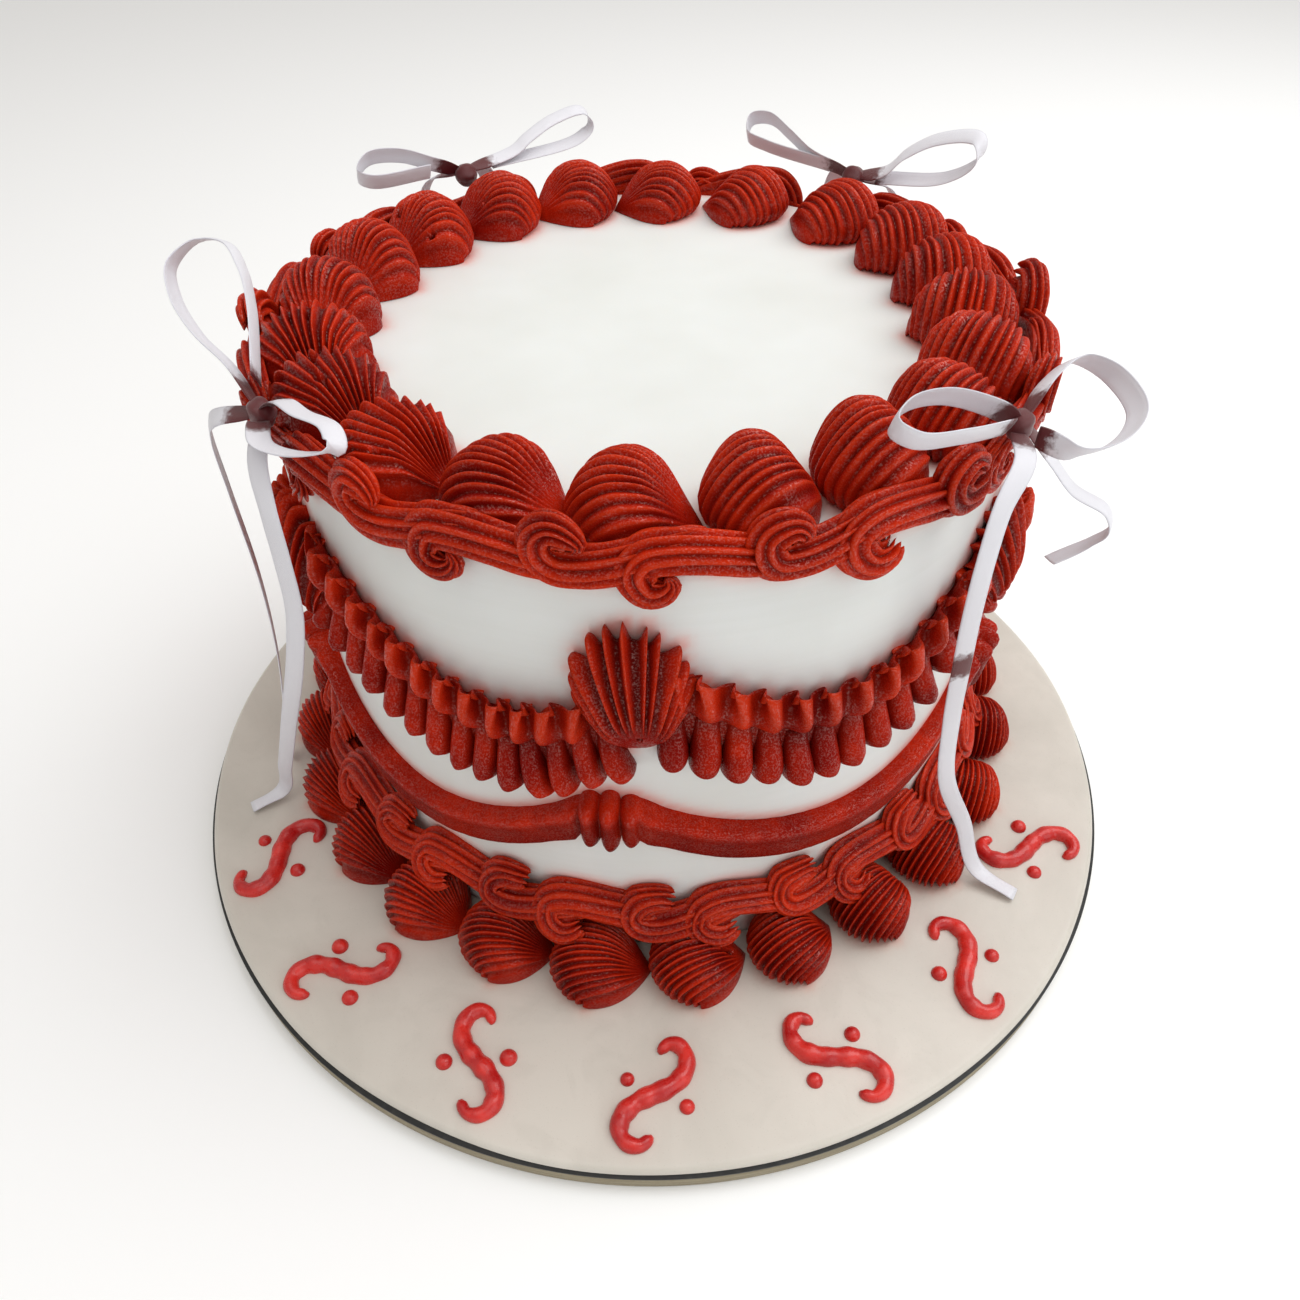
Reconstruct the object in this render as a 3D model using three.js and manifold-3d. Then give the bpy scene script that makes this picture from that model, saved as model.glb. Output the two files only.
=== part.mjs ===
import * as THREE from 'three';
import { mergeVertices } from 'three/addons/utils/BufferGeometryUtils.js';
import Module from 'manifold-3d';

// A small round celebration cake on its covered board, in millimetres, +Z up.
// The origin is under the middle of the board; the front of the cake looks along -Y.

const wasm = await Module();
wasm.setup();

// Driving sizes of the board
const boardRadius = 152.4;
const boardThickness = 5;
const laminateThickness = 0.8;
const coveringRadius = 151.6;
const coveringThickness = 2.8;
const coveringEdgeRadius = 2;
const boardSides = 56;
const boardScroll = {
  turns: [-66, -44, -22, 0, 22, 44, 66],
  radius: 131.5,
  halfLength: 25,
  bend: 4,
  lean: 22,
  width: 5.6,
  dot: 4.6,
  dotAside: 6,
  dotOut: 6.5,
};

// Driving sizes of the cake
const cakeSetBack = 18.4;
const cakeHeight = 137.4;
const cakeFootRadius = 104;
const cakeTopRadius = 98.1;
const cakeRimRadius = 3;
const cakeSides = 54;

// Clearance left between pieces that touch in the real cake
const gap = 0.3;

// Heights that follow from the sizes above
const laminateBase = boardThickness + 0.2;
const coveringBase = laminateBase + laminateThickness + 0.2;
const boardTop = coveringBase + coveringThickness;
const cakeBase = boardTop + 0.2;
const cakeTop = cakeBase + cakeHeight;

// Piped borders
const topShellCount = 20;
const topShell = { radius: 85, length: 25, width: 27.4, height: 16, tallerInFront: 0.1, turn: -2 };
const bottomShellCount = 25;
const bottomShell = { radius: 114.9, width: 20, height: 17.6, turn: -7.6 };
const upperScroll = {
  count: 28,
  middle: 148,
  headHeight: 17,
  tailHeight: 10.5,
  lift: 2.6,
  depth: 6.4,
  slope: 0,
  turn: -10,
};
const lowerScroll = {
  count: 32,
  middle: 31.4,
  headHeight: 14.6,
  tailHeight: 10.4,
  lift: 1,
  depth: 9,
  slope: 0.3,
  turn: -2,
};

// Pieces on the side of the cake
const fanTurns = [-58, -3, 57, 118, 178, 238];
const fan = { tipHeight: 96, topHeight: 135.5, width: 25, depth: 9.5 };
const swag = { low: 106.5, curve: 0.036, most: 50, lowShift: [11, -1, 1, -2, 2, 0] };
const ruffle = { height: 12, depth: 8.5, fold: 4, endGap: 8.4 };
const fringe = { length: 18.4, depth: 8, lobe: 3.85, endGap: 4.6 };
const band = { height: 12.4, depth: 5.4, low: 52, rise: 17 };
const knotTurns = [-6, 66, 122, 180, 236, 290];
const knot = { halfTurn: 3.6, height: 17, depth: 8.4, folds: 3 };

// Ribbon bows
const ribbonWidth = 5;
const ribbonThickness = 0.7;

const icingRed = { color: 0x8e1a12, roughness: 0.5, metalness: 0 };
const brightRed = { color: 0xc2221a, roughness: 0.35, metalness: 0 };
const cream = { color: 0xf2f4ee, roughness: 0.55, metalness: 0 };
const coveringWhite = { color: 0xd9d3c8, roughness: 0.45, metalness: 0 };
const satin = { color: 0xf1eef4, roughness: 0.4, metalness: 0 };
const blackLaminate = { color: 0x171614, roughness: 0.5, metalness: 0 };
const fibreboard = { color: 0x9c8f6e, roughness: 0.85, metalness: 0 };

const degrees = Math.PI / 180;

// A seeded draw, so that the small differences between shells are the same every time
let drawState = 20411;
function draw(spread) {
  drawState = (drawState * 48271) % 2147483647;
  return 1 + spread * (2 * drawState / 2147483647 - 1);
}

function smooth(t) {
  const u = Math.min(1, Math.max(0, t));
  return u * u * (3 - 2 * u);
}

// Join shared corners and drop triangles that have no area
function weld(geometry) {
  geometry.deleteAttribute('normal');
  geometry.deleteAttribute('uv');
  const merged = mergeVertices(geometry, 1e-4);
  const kept = [];
  const index = merged.index.array;
  for (let i = 0; i < index.length; i += 3) {
    const [a, b, c] = [index[i], index[i + 1], index[i + 2]];
    if (a !== b && b !== c && a !== c) kept.push(a, b, c);
  }
  merged.setIndex(kept);
  return merged;
}

function toManifold(geometry) {
  return new wasm.Manifold(new wasm.Mesh({
    numProp: 3,
    vertProperties: Float32Array.from(geometry.attributes.position.array),
    triVerts: Uint32Array.from(geometry.index.array),
  }));
}

function fromManifold(body) {
  const mesh = body.getMesh();
  const geometry = new THREE.BufferGeometry();
  geometry.setAttribute('position', new THREE.BufferAttribute(Float32Array.from(mesh.vertProperties), 3));
  geometry.setIndex(Array.from(mesh.triVerts));
  return geometry;
}

function join(geometries) {
  let body = toManifold(geometries[0]);
  for (const geometry of geometries.slice(1)) body = body.add(toManifold(geometry));
  return fromManifold(body);
}

// Skin a row of rings into a closed body. With round set, the last ring meets the first.
function skin(rings, round = false) {
  const points = [];
  const faces = [];
  const starts = rings.map((ring) => {
    const start = points.length;
    points.push(...ring);
    return start;
  });
  const sides = rings[0].length;
  const bands = round ? rings.length : rings.length - 1;
  for (let i = 0; i < bands; i += 1) {
    const a = starts[i];
    const b = starts[(i + 1) % rings.length];
    for (let j = 0; j < sides; j += 1) {
      const k = (j + 1) % sides;
      faces.push(a + j, b + j, b + k, a + j, b + k, a + k);
    }
  }
  if (!round) {
    for (const [ring, start, flip] of [[rings[0], starts[0], false], [rings.at(-1), starts.at(-1), true]]) {
      const middle = points.length;
      points.push(ring.reduce((sum, p) => sum.add(p), new THREE.Vector3()).divideScalar(sides));
      for (let j = 0; j < sides; j += 1) {
        const k = (j + 1) % sides;
        faces.push(middle, ...(flip ? [start + k, start + j] : [start + j, start + k]));
      }
    }
  }
  let volume = 0;
  for (let i = 0; i < faces.length; i += 3) {
    const [a, b, c] = [points[faces[i]], points[faces[i + 1]], points[faces[i + 2]]];
    volume += a.dot(b.clone().cross(c));
  }
  if (volume < 0) faces.reverse();
  const geometry = new THREE.BufferGeometry();
  geometry.setAttribute('position', new THREE.Float32BufferAttribute(points.flatMap((p) => [p.x, p.y, p.z]), 3));
  geometry.setIndex(faces);
  return weld(geometry);
}

function wallRadius(height) {
  const t = (height - cakeBase) / (cakeTop - cakeBase);
  return cakeFootRadius + (cakeTopRadius - cakeFootRadius) * t;
}

// A point at an angle round the cake from its front, a distance from its axis and a height
function roundCake(turn, radius, height) {
  return new THREE.Vector3(radius * Math.sin(turn * degrees), -radius * Math.cos(turn * degrees), height);
}

// A point a given distance out from the side of the cake
function onWall(turn, height, out) {
  return roundCake(turn, wallRadius(height) + gap + out, height);
}

// Size of a shell's section along its length: a round head, then a taper to the tail
function shellSwell(u, headShare, tailShare) {
  if (u < headShare) return Math.sqrt(Math.max(0, 1 - (1 - u / headShare) ** 2));
  const t = (u - headShare) / (1 - headShare);
  return 1 - (1 - tailShare) * t ** 1.6;
}

// A piped shell: ridged dome sections on a flat foot, given along, across and up
function shellRings({ length, width, height, sides, steps, depth, headShare, tailShare }, place) {
  const rings = [];
  for (const u of steps) {
    const swell = shellSwell(u, headShare, tailShare);
    const ring = [];
    for (let j = 0; j <= sides; j += 1) {
      const angle = Math.PI * j / sides;
      const ridge = 1 + depth * (j % 2 ? 1 : -1);
      const across = width / 2 * swell * Math.cos(angle) * ridge;
      const up = height * swell * Math.sin(angle) * ridge;
      ring.push(place((u - 0.5) * length, across, up));
    }
    ring.push(place((u - 0.5) * length, 0, 0));
    rings.push(ring);
  }
  return rings;
}

// Round plates of the board, turned about the vertical axis
function turned(profile, segments) {
  const outline = profile.map(([r, z]) => new THREE.Vector2(r, z));
  return weld(new THREE.LatheGeometry(outline, segments).rotateX(Math.PI / 2));
}

function boardCore() {
  const r = boardRadius;
  return turned([[0, 0], [r, 0], [r, boardThickness], [0, boardThickness]], boardSides);
}

function boardLaminate() {
  const top = laminateBase + laminateThickness;
  return turned([[0, laminateBase], [boardRadius, laminateBase], [boardRadius, top], [0, top]], boardSides);
}

// A piped stroke on the covering: a low bead whose width follows the stroke
function stroke(points, widths) {
  const curve = new THREE.CatmullRomCurve3(points.map(([x, y]) => new THREE.Vector3(x, y, 0)));
  const steps = widths.length - 1;
  const rings = widths.map((width, i) => {
    const centre = curve.getPoint(i / steps);
    const along = curve.getTangent(i / steps);
    const side = new THREE.Vector3(-along.y, along.x, 0);
    const corner = (across, up) => centre.clone().addScaledVector(side, across * width).setZ(boardTop + up);
    const rise = 0.62 * width;
    return [corner(0.5, -0.6), corner(0.3, rise), corner(-0.3, rise), corner(-0.5, -0.6)];
  });
  return skin(rings);
}

function dot(x, y, size) {
  return stroke([[x - size / 2, y], [x, y], [x + size / 2, y]], [size * 0.4, size, size * 0.4]);
}

// Distance of a point on a scroll from its middle, at a share from -1 to 1 of its half length.
// The stroke is straight in the middle and curls ever tighter towards both ends.
function scrollPoint(share) {
  const steps = 24;
  const step = share * boardScroll.halfLength / steps;
  let x = 0;
  let y = 0;
  for (let i = 0; i < steps; i += 1) {
    const angle = boardScroll.bend * (share * (i + 0.5) / steps) ** 2;
    x += Math.cos(angle) * step;
    y += Math.sin(angle) * step;
  }
  return [x, y];
}

// A scroll and two dots, piped round the front of the board in place of its writing
function scrollAndDots(turn, flip) {
  const at = ([x, y]) => {
    const lean = boardScroll.lean * degrees;
    const along = flip * (x * Math.cos(lean) - y * Math.sin(lean));
    const outward = x * Math.sin(lean) + y * Math.cos(lean);
    const angle = turn * degrees + along / boardScroll.radius;
    const radius = boardScroll.radius + outward;
    return [radius * Math.sin(angle), -radius * Math.cos(angle)];
  };
  const widths = [0.4, 0.8, 1, 1, 1, 0.8, 0.4].map((share) => share * boardScroll.width);
  const points = widths.map((_, i) => at(scrollPoint(2 * i / (widths.length - 1) - 1)));
  const dots = [1, -1].map((side) => dot(...at([side * boardScroll.dotAside, -side * boardScroll.dotOut]), boardScroll.dot));
  return [stroke(points, widths), ...dots];
}

function boardCovering() {
  const r = coveringRadius;
  const e = coveringEdgeRadius;
  const profile = [[0, coveringBase], [r - 0.8, coveringBase], [r, coveringBase + 0.8]];
  for (let i = 1; i <= 2; i += 1) {
    const angle = i / 2 * Math.PI / 2;
    profile.push([r - e + e * Math.cos(angle), boardTop - e + e * Math.sin(angle)]);
  }
  profile.push([0, boardTop]);
  const pieces = [turned(profile, boardSides)];
  for (const [i, turn] of boardScroll.turns.entries()) pieces.push(...scrollAndDots(turn, i % 2 ? -1 : 1));
  return join(pieces);
}

function cakeBody() {
  const c = cakeRimRadius;
  const profile = [[0, cakeBase], [cakeFootRadius, cakeBase]];
  for (let i = 0; i <= 2; i += 1) {
    const angle = i / 2 * Math.PI / 2;
    profile.push([cakeTopRadius - c + c * Math.cos(angle), cakeTop - c + c * Math.sin(angle)]);
  }
  profile.push([0, cakeTop]);
  return turned(profile, cakeSides);
}

// One shell of the top border, made at the front; its head points to -X and its tail to +X.
// The shells at the front of the cake are a little taller than those at the back.
function topShellPiece(turn) {
  const size = draw(0.05) * (1 + topShell.tallerInFront * Math.cos(turn * degrees));
  const lean = draw(0.6) - 1;
  const spec = {
    length: topShell.length,
    width: topShell.width * draw(0.03),
    height: topShell.height * size,
    sides: 10,
    steps: [0.04, 0.2, 0.48, 0.78, 1],
    depth: 0.035,
    headShare: 0.44,
    tailShare: 0.3,
  };
  const place = (along, across, up) => {
    const slide = lean * across * 0.12;
    return new THREE.Vector3(along + slide, -topShell.radius + across, cakeTop + gap + up);
  };
  return skin(shellRings(spec, place));
}

// The bottom border: shells run into each other in one piped ring on the board
function bottomBorder() {
  const pitch = 360 / bottomShellCount;
  const steps = [0.02, 0.2, 0.55, 0.86];
  const sides = 6;
  const rings = [];
  for (let i = 0; i < bottomShellCount; i += 1) {
    const size = draw(0.05);
    for (const u of steps) {
      const swell = 0.42 + 0.58 * shellSwell(u, 0.4, 0.12);
      const ring = [];
      for (let j = 0; j <= sides; j += 1) {
        const angle = Math.PI * j / sides;
        const ridge = 1 + 0.035 * (j % 2 ? 1 : -1);
        const out = bottomShell.width / 2 * (1 - Math.cos(angle) * swell * ridge);
        const up = bottomShell.height * size * swell * ridge * Math.sin(angle) ** 0.9;
        const radius = bottomShell.radius - bottomShell.width / 2 + out;
        ring.push(roundCake(bottomShell.turn + (i + u - 0.5) * pitch, radius, cakeBase + up));
      }
      rings.push(ring);
    }
  }
  return skin(rings, true);
}

// Each bow: where its knot is, its two loops and its two tails
const bows = [
  {
    name: 'ribbon_bow_front_right',
    knot: [50.5, 101.8, 156.6],
    loops: [
      [[50.5, 102, 157], [45, 98, 163.5], [38, 94, 168.5], [32, 93.5, 169.5], [29, 96, 168], [31, 99, 165.5],
        [38, 101, 163], [47, 102, 159]],
      [[50.5, 102, 157], [58, 102, 161], [64, 106, 161.5], [64, 113, 160], [59, 121, 158.5], [53, 121, 157.5],
        [48.5, 116, 157.5], [49, 107, 157]],
    ],
    tails: [
      [[49.5, 102.5, 156], [44, 109.5, 156.5], [39.5, 112, 151], [38, 113.5, 140], [38.3, 114, 123.5],
        [39.3, 114, 111], [42.3, 113.5, 84], [44, 116, 60], [49, 122, 34], [50.5, 130, 14], [51.2, 143, 10.2]],
      [[51.5, 102.5, 156], [53.5, 109.5, 148], [55.1, 115.5, 141], [56.9, 123.5, 136], [56.8, 125.4, 132],
        [56.3, 122.5, 128], [53, 116.5, 124.5]],
    ],
  },
  {
    name: 'ribbon_bow_front_left',
    knot: [-56, 101.8, 156.6],
    loops: [
      [[-56, 102, 157], [-52, 99, 161.5], [-46, 99, 163], [-41, 98, 163], [-38.5, 101, 161.5], [-41, 105.5, 160.5],
        [-47, 108, 159], [-54, 104, 157]],
      [[-56, 102, 157], [-62.1, 103.5, 163], [-65.6, 107.4, 168], [-72.2, 110.2, 172], [-76.7, 109.9, 175],
        [-80.5, 104.3, 177], [-78.9, 98, 177], [-74, 95, 174], [-69, 95, 169.5], [-59, 100, 161]],
    ],
    tails: [
      [[-55, 102.5, 156], [-48.5, 109.5, 154], [-45, 113, 148], [-45, 113.9, 135], [-47, 114, 118], [-50.7, 116.1, 98],
        [-59.8, 121.2, 62], [-66.5, 128.3, 30], [-69, 133.3, 13], [-68.5, 144, 10.2]],
      [[-57, 102.5, 156], [-61, 110, 153.5], [-66, 112.5, 145], [-68, 113.5, 128], [-68, 114.5, 100], [-70, 118, 70], [-74, 126, 30],
        [-77, 129.5, 10.4]],
    ],
  },
  {
    name: 'ribbon_bow_back_right',
    knot: [141, 101.8, 156.6],
    loops: [
      [[141, 102, 157], [149.4, 102, 160], [154.2, 104, 164], [158.6, 107, 167], [161.7, 107, 166], [161.8, 104, 162.5],
        [158.3, 103, 160.5], [146, 102.5, 158]],
      [[141, 102, 157], [135.4, 103, 160], [132.8, 106, 165.2], [128.7, 110, 170], [123, 114, 171.8],
        [122.1, 113, 167.3], [126.1, 110, 161], [137, 103.5, 157.5]],
    ],
    tails: [
      [[142, 102.5, 156], [146, 109.5, 154], [148, 112.5, 142], [147, 113.5, 112], [150, 116, 70], [148, 123, 30],
        [147, 128.5, 10.4]],
      [[140, 102.5, 156], [136, 109.5, 153], [134, 113.5, 138], [135, 114, 108], [132, 115.5, 66], [134, 123, 30],
        [136, 129, 10.4]],
    ],
  },
  {
    name: 'ribbon_bow_back_left',
    knot: [-146, 101.8, 156.6],
    loops: [
      [[-146, 102.5, 157.5], [-155.7, 102.5, 160.5], [-158.6, 104, 163], [-164, 107, 166.5], [-169.1, 109, 167.5],
        [-170, 107, 164], [-167.6, 104.5, 161], [-151, 102.5, 158]],
      [[-146, 102, 157], [-141, 105, 160.5], [-136.1, 109, 164], [-131.2, 112, 164.5], [-128.6, 111, 161.5],
        [-129.7, 108, 160], [-140, 104.5, 159]],
    ],
    tails: [
      [[-147, 103, 157], [-151, 109.5, 154.5], [-153, 112.5, 140], [-152, 113.5, 110], [-154, 116, 68],
        [-152, 123, 30], [-150, 128.5, 10.4]],
      [[-145, 103, 157], [-141, 109.5, 154.5], [-139, 113.5, 136], [-140, 114, 106], [-138, 115.5, 64],
        [-139, 123, 30], [-141, 129, 10.4]],
    ],
  },
];
const bowTurns = bows.map((bow) => bow.knot[0]);

// How much a border is pressed in where a bow's knot is stuck into it
function pressedByBow(turn) {
  let press = 0;
  for (const bowTurn of bowTurns) {
    const away = Math.abs(((turn - bowTurn) % 360 + 540) % 360 - 180);
    press = Math.max(press, 1 - smooth((away - 3) / 4));
  }
  return press;
}

// A border of reversed scrolls against the wall: heads curl up and down by turns,
// and each tail sweeps on to the right under the next head
function scrollBorder({ count, middle, headHeight, tailHeight, lift, depth, slope, turn }, pressable) {
  const pitch = 360 / count;
  const steps = [0, 0.22, 0.5, 0.78];
  const rings = [];
  for (let i = 0; i < count; i += 1) {
    const side = i % 2 ? -1 : 1;
    const size = draw(0.07);
    for (const u of steps) {
      const at = turn + (i + u - 0.3) * pitch;
      const head = Math.sin(Math.PI * Math.min(1, (u + 0.12) / 0.75)) ** 0.7;
      const half = (tailHeight + (headHeight * size - tailHeight) * head) / 2;
      const centre = middle + side * lift * head;
      const press = pressable ? pressedByBow(at) : 0;
      const thick = depth * (0.62 + 0.38 * head) * (1 - 0.55 * press);
      const top = centre + half - press * (pressable ? 7 : 0);
      const bottom = centre - half;
      const inner = (z) => onWall(at, Math.min(z, cakeTop), Math.max(0, z - cakeTop) > 0 ? 0.9 : 0).setZ(z);
      rings.push([
        inner(bottom),
        onWall(at, bottom + 0.3 * (top - bottom), thick * 0.95),
        onWall(at, bottom + 0.76 * (top - bottom), thick * (1 - slope)),
        inner(top),
      ]);
    }
  }
  return skin(rings, true);
}

// A fan shell on the wall: ribs spread from the tip below to the scalloped head above
function fanPiece(turn) {
  const length = fan.topHeight - fan.tipHeight;
  const spec = {
    length,
    width: fan.width,
    height: fan.depth,
    sides: 10,
    steps: [0.02, 0.16, 0.42, 0.72, 1],
    depth: 0.05,
    headShare: 0.34,
    tailShare: 0.22,
  };
  const middle = (fan.topHeight + fan.tipHeight) / 2;
  const place = (along, across, up) => {
    const height = middle - along;
    const away = across / wallRadius(height) / degrees;
    return onWall(turn + away, height, up);
  };
  return skin(shellRings(spec, place));
}

function nextTurn(i) {
  return i + 1 < fanTurns.length ? fanTurns[i + 1] : fanTurns[0] + 360;
}

// Height of a swag's upper edge: a hanging curve whose ends flatten towards the fans
function swagHeight(i, turn) {
  const away = turn - (fanTurns[i] + nextTurn(i)) / 2 - swag.lowShift[i];
  const lift = swag.curve * away * away;
  return swag.low + lift / (1 + lift / swag.most);
}

// A folded ruffle hung between two fans
function rufflePiece(i) {
  const from = fanTurns[i] + ruffle.endGap;
  const to = nextTurn(i) - ruffle.endGap;
  const folds = Math.round((to - from) / ruffle.fold);
  const rings = [];
  for (let k = 0; k <= folds * 2; k += 1) {
    const turn = from + (to - from) * k / (folds * 2);
    const full = k % 2;
    const bottom = swagHeight(i, turn) - ruffle.height;
    const height = ruffle.height * (full ? 1 : 0.86);
    const out = ruffle.depth * (full ? 1 : 0.55);
    rings.push([
      onWall(turn, bottom + height, 0),
      onWall(turn, bottom + 0.95 * height, out * 0.7),
      onWall(turn, bottom + 0.38 * height, out),
      onWall(turn, bottom, 0),
    ]);
  }
  return skin(rings);
}

// A fringe of rounded fingers under each ruffle
function fringePiece(i) {
  const from = fanTurns[i] + fringe.endGap;
  const to = nextTurn(i) - fringe.endGap;
  const lobes = Math.round((to - from) / fringe.lobe);
  const rings = [];
  for (let k = 0; k <= lobes * 2; k += 1) {
    const turn = from + (to - from) * k / (lobes * 2);
    const full = k % 2;
    const hung = swagHeight(i, turn) - ruffle.height - gap - 0.2;
    const fromFan = Math.min(turn - fanTurns[i], nextTurn(i) - turn);
    const underFan = fan.tipHeight - 0.8 + 16 * smooth((fromFan - fringe.endGap) / 4);
    const top = Math.min(hung, underFan);
    const bottom = hung - fringe.length + (full ? 0 : 3);
    const out = fringe.depth * (full ? 1 : 0.45);
    rings.push([
      onWall(turn, top, 0),
      onWall(turn, top - 1.5, out * 0.62),
      onWall(turn, bottom + 4, out),
      onWall(turn, bottom, out * 0.3),
    ]);
  }
  return skin(rings);
}

// A smooth band that swags below, tied by a folded knot at each high point
function bandRing() {
  const rings = [];
  const add = (turn, middle, height, depth) => {
    const top = middle + height / 2;
    const bottom = middle - height / 2;
    rings.push([
      onWall(turn, bottom, 0),
      onWall(turn, bottom + 0.3, depth * 0.66),
      onWall(turn, top - 3.2, depth),
      onWall(turn, top - 0.8, depth * 0.78),
      onWall(turn, top, 0),
    ]);
  };
  for (const [i, turn] of knotTurns.entries()) {
    const next = i + 1 < knotTurns.length ? knotTurns[i + 1] : knotTurns[0] + 360;
    for (let k = 0; k <= knot.folds * 2; k += 1) {
      const full = k % 2;
      const at = turn + knot.halfTurn * (k / knot.folds - 1);
      const size = full ? 1 : 0.74;
      add(at, band.low + band.rise, knot.height * (full ? 1 : 0.9), knot.depth * size);
    }
    const from = turn + knot.halfTurn * 1.25;
    const to = next - knot.halfTurn * 1.25;
    const steps = 7;
    for (let k = 0; k <= steps; k += 1) {
      const share = 2 * k / steps - 1;
      add(from + (to - from) * k / steps, band.low + band.rise * share * share, band.height, band.depth);
    }
  }
  return skin(rings, true);
}

// A flat ribbon along a smooth curve through the points, each given as turn, radius and height
function ribbonStrip(points, steps, tilt) {
  const path = new THREE.CatmullRomCurve3(points.map((p) => roundCake(...p)), false, 'centripetal');
  const middle = path.getPoints(24);
  const facing = new THREE.Vector3();
  for (let i = 2; i < middle.length; i += 1) {
    const one = middle[i - 1].clone().sub(middle[i - 2]);
    facing.add(one.cross(middle[i].clone().sub(middle[i - 1])));
  }
  facing.normalize();
  const hint = new THREE.Vector3(...tilt).addScaledVector(facing, 0.6);
  const rings = [];
  for (let i = 0; i <= steps; i += 1) {
    const centre = path.getPointAt(i / steps);
    const along = path.getTangentAt(i / steps);
    const wide = hint.clone().addScaledVector(along, -hint.dot(along)).normalize().multiplyScalar(ribbonWidth / 2);
    const thin = along.clone().cross(wide).normalize().multiplyScalar(ribbonThickness / 2);
    rings.push([[1, 1], [1, -1], [-1, -1], [-1, 1]].map(([a, b]) => (
      centre.clone().addScaledVector(wide, a).addScaledVector(thin, b))));
  }
  return skin(rings);
}

function bowPiece(bow) {
  const lump = new THREE.SphereGeometry(3.4, 6, 4);
  const [turn, radius, height] = bow.knot;
  const centre = roundCake(turn, radius, height);
  lump.rotateZ(turn * degrees);
  lump.translate(centre.x, centre.y, centre.z);
  const pieces = [weld(lump)];
  for (const loop of bow.loops) pieces.push(ribbonStrip(loop, 8, [0, 0, 0.5]));
  for (const tail of bow.tails) {
    const across = roundCake(bow.knot[0] + 90, 1, 0);
    pieces.push(ribbonStrip(tail, 7, [across.x, across.y, 0]));
  }
  return join(pieces);
}

function named(name, geometry, finish) {
  const mesh = new THREE.Mesh(geometry, new THREE.MeshStandardMaterial(finish));
  mesh.name = name;
  return mesh;
}

function twoDigits(i) {
  return String(i).padStart(2, '0');
}

const part = new THREE.Group();
part.add(named('board_core', boardCore(), fibreboard));
part.add(named('board_laminate', boardLaminate(), blackLaminate));
part.add(named('board_covering', boardCovering(), coveringWhite));

const cake = new THREE.Group();
cake.position.set(0, cakeSetBack, 0);
cake.add(named('cake_body', cakeBody(), cream));
for (let i = 0; i < topShellCount; i += 1) {
  const turn = topShell.turn + i * 360 / topShellCount;
  const shell = named(`top_shell_${twoDigits(i + 1)}`, topShellPiece(turn), icingRed);
  shell.rotation.z = turn * degrees;
  cake.add(shell);
}
cake.add(named('bottom_shell_border', bottomBorder(), icingRed));
cake.add(named('upper_scroll_border', scrollBorder(upperScroll, true), icingRed));
cake.add(named('lower_scroll_border', scrollBorder(lowerScroll, false), icingRed));
for (const [i, turn] of fanTurns.entries()) {
  cake.add(named(`fan_shell_${i + 1}`, fanPiece(turn), icingRed));
  cake.add(named(`ruffle_swag_${i + 1}`, rufflePiece(i), icingRed));
  cake.add(named(`fringe_swag_${i + 1}`, fringePiece(i), icingRed));
}
cake.add(named('band_with_knots', bandRing(), icingRed));
for (const bow of bows) cake.add(named(bow.name, bowPiece(bow), satin));
part.add(cake);

export default part;
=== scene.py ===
# A tall round cake on its covered board: white icing, red piped borders, swags and ribbon bows.
# Lengths are in millimetres until a mesh is made. The front of the cake looks along -Y.
import math

import bmesh
import bpy
import numpy as np
from mathutils import Matrix, Vector
from mathutils.kdtree import KDTree


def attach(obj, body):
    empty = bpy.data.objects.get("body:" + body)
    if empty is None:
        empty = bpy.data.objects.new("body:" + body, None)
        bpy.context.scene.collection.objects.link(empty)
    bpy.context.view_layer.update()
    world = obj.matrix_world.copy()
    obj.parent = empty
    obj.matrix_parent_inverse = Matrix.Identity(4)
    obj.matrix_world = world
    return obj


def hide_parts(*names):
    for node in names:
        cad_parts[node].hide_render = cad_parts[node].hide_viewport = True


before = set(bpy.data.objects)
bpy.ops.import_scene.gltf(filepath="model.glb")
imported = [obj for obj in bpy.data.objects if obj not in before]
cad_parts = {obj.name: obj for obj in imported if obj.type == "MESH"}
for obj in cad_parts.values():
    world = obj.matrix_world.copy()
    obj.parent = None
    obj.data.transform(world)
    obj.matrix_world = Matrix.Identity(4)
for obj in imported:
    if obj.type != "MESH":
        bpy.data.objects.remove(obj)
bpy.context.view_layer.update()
print("frame loaded")

# the iced cake; everything piped on it is placed from these sizes
cake = {"setBack": 18.4, "base": 9.2, "top": 146.6, "footRadius": 104.0, "topRadius": 98.1, "rim": 3.0}
midRadius = 101.0  # of the wall, where the swags hang


def wallRadius(height):
    share = (height - cake["base"]) / (cake["top"] - cake["base"])
    return cake["footRadius"] + (cake["topRadius"] - cake["footRadius"]) * share


# turn is in degrees from the front towards +X, round the cake's own axis
def roundCake(turn, radius, height):
    angle = np.radians(turn)
    x, y = radius * np.sin(angle), cake["setBack"] - radius * np.cos(angle)
    return np.stack(np.broadcast_arrays(x, y, height), -1)


def onWall(turn, height, out):
    return roundCake(turn, wallRadius(height) + out, height)


def easeIn(value, low, high):
    t = np.clip((value - low) / (high - low), 0, 1)
    return t * t * (3 - 2 * t)


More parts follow.
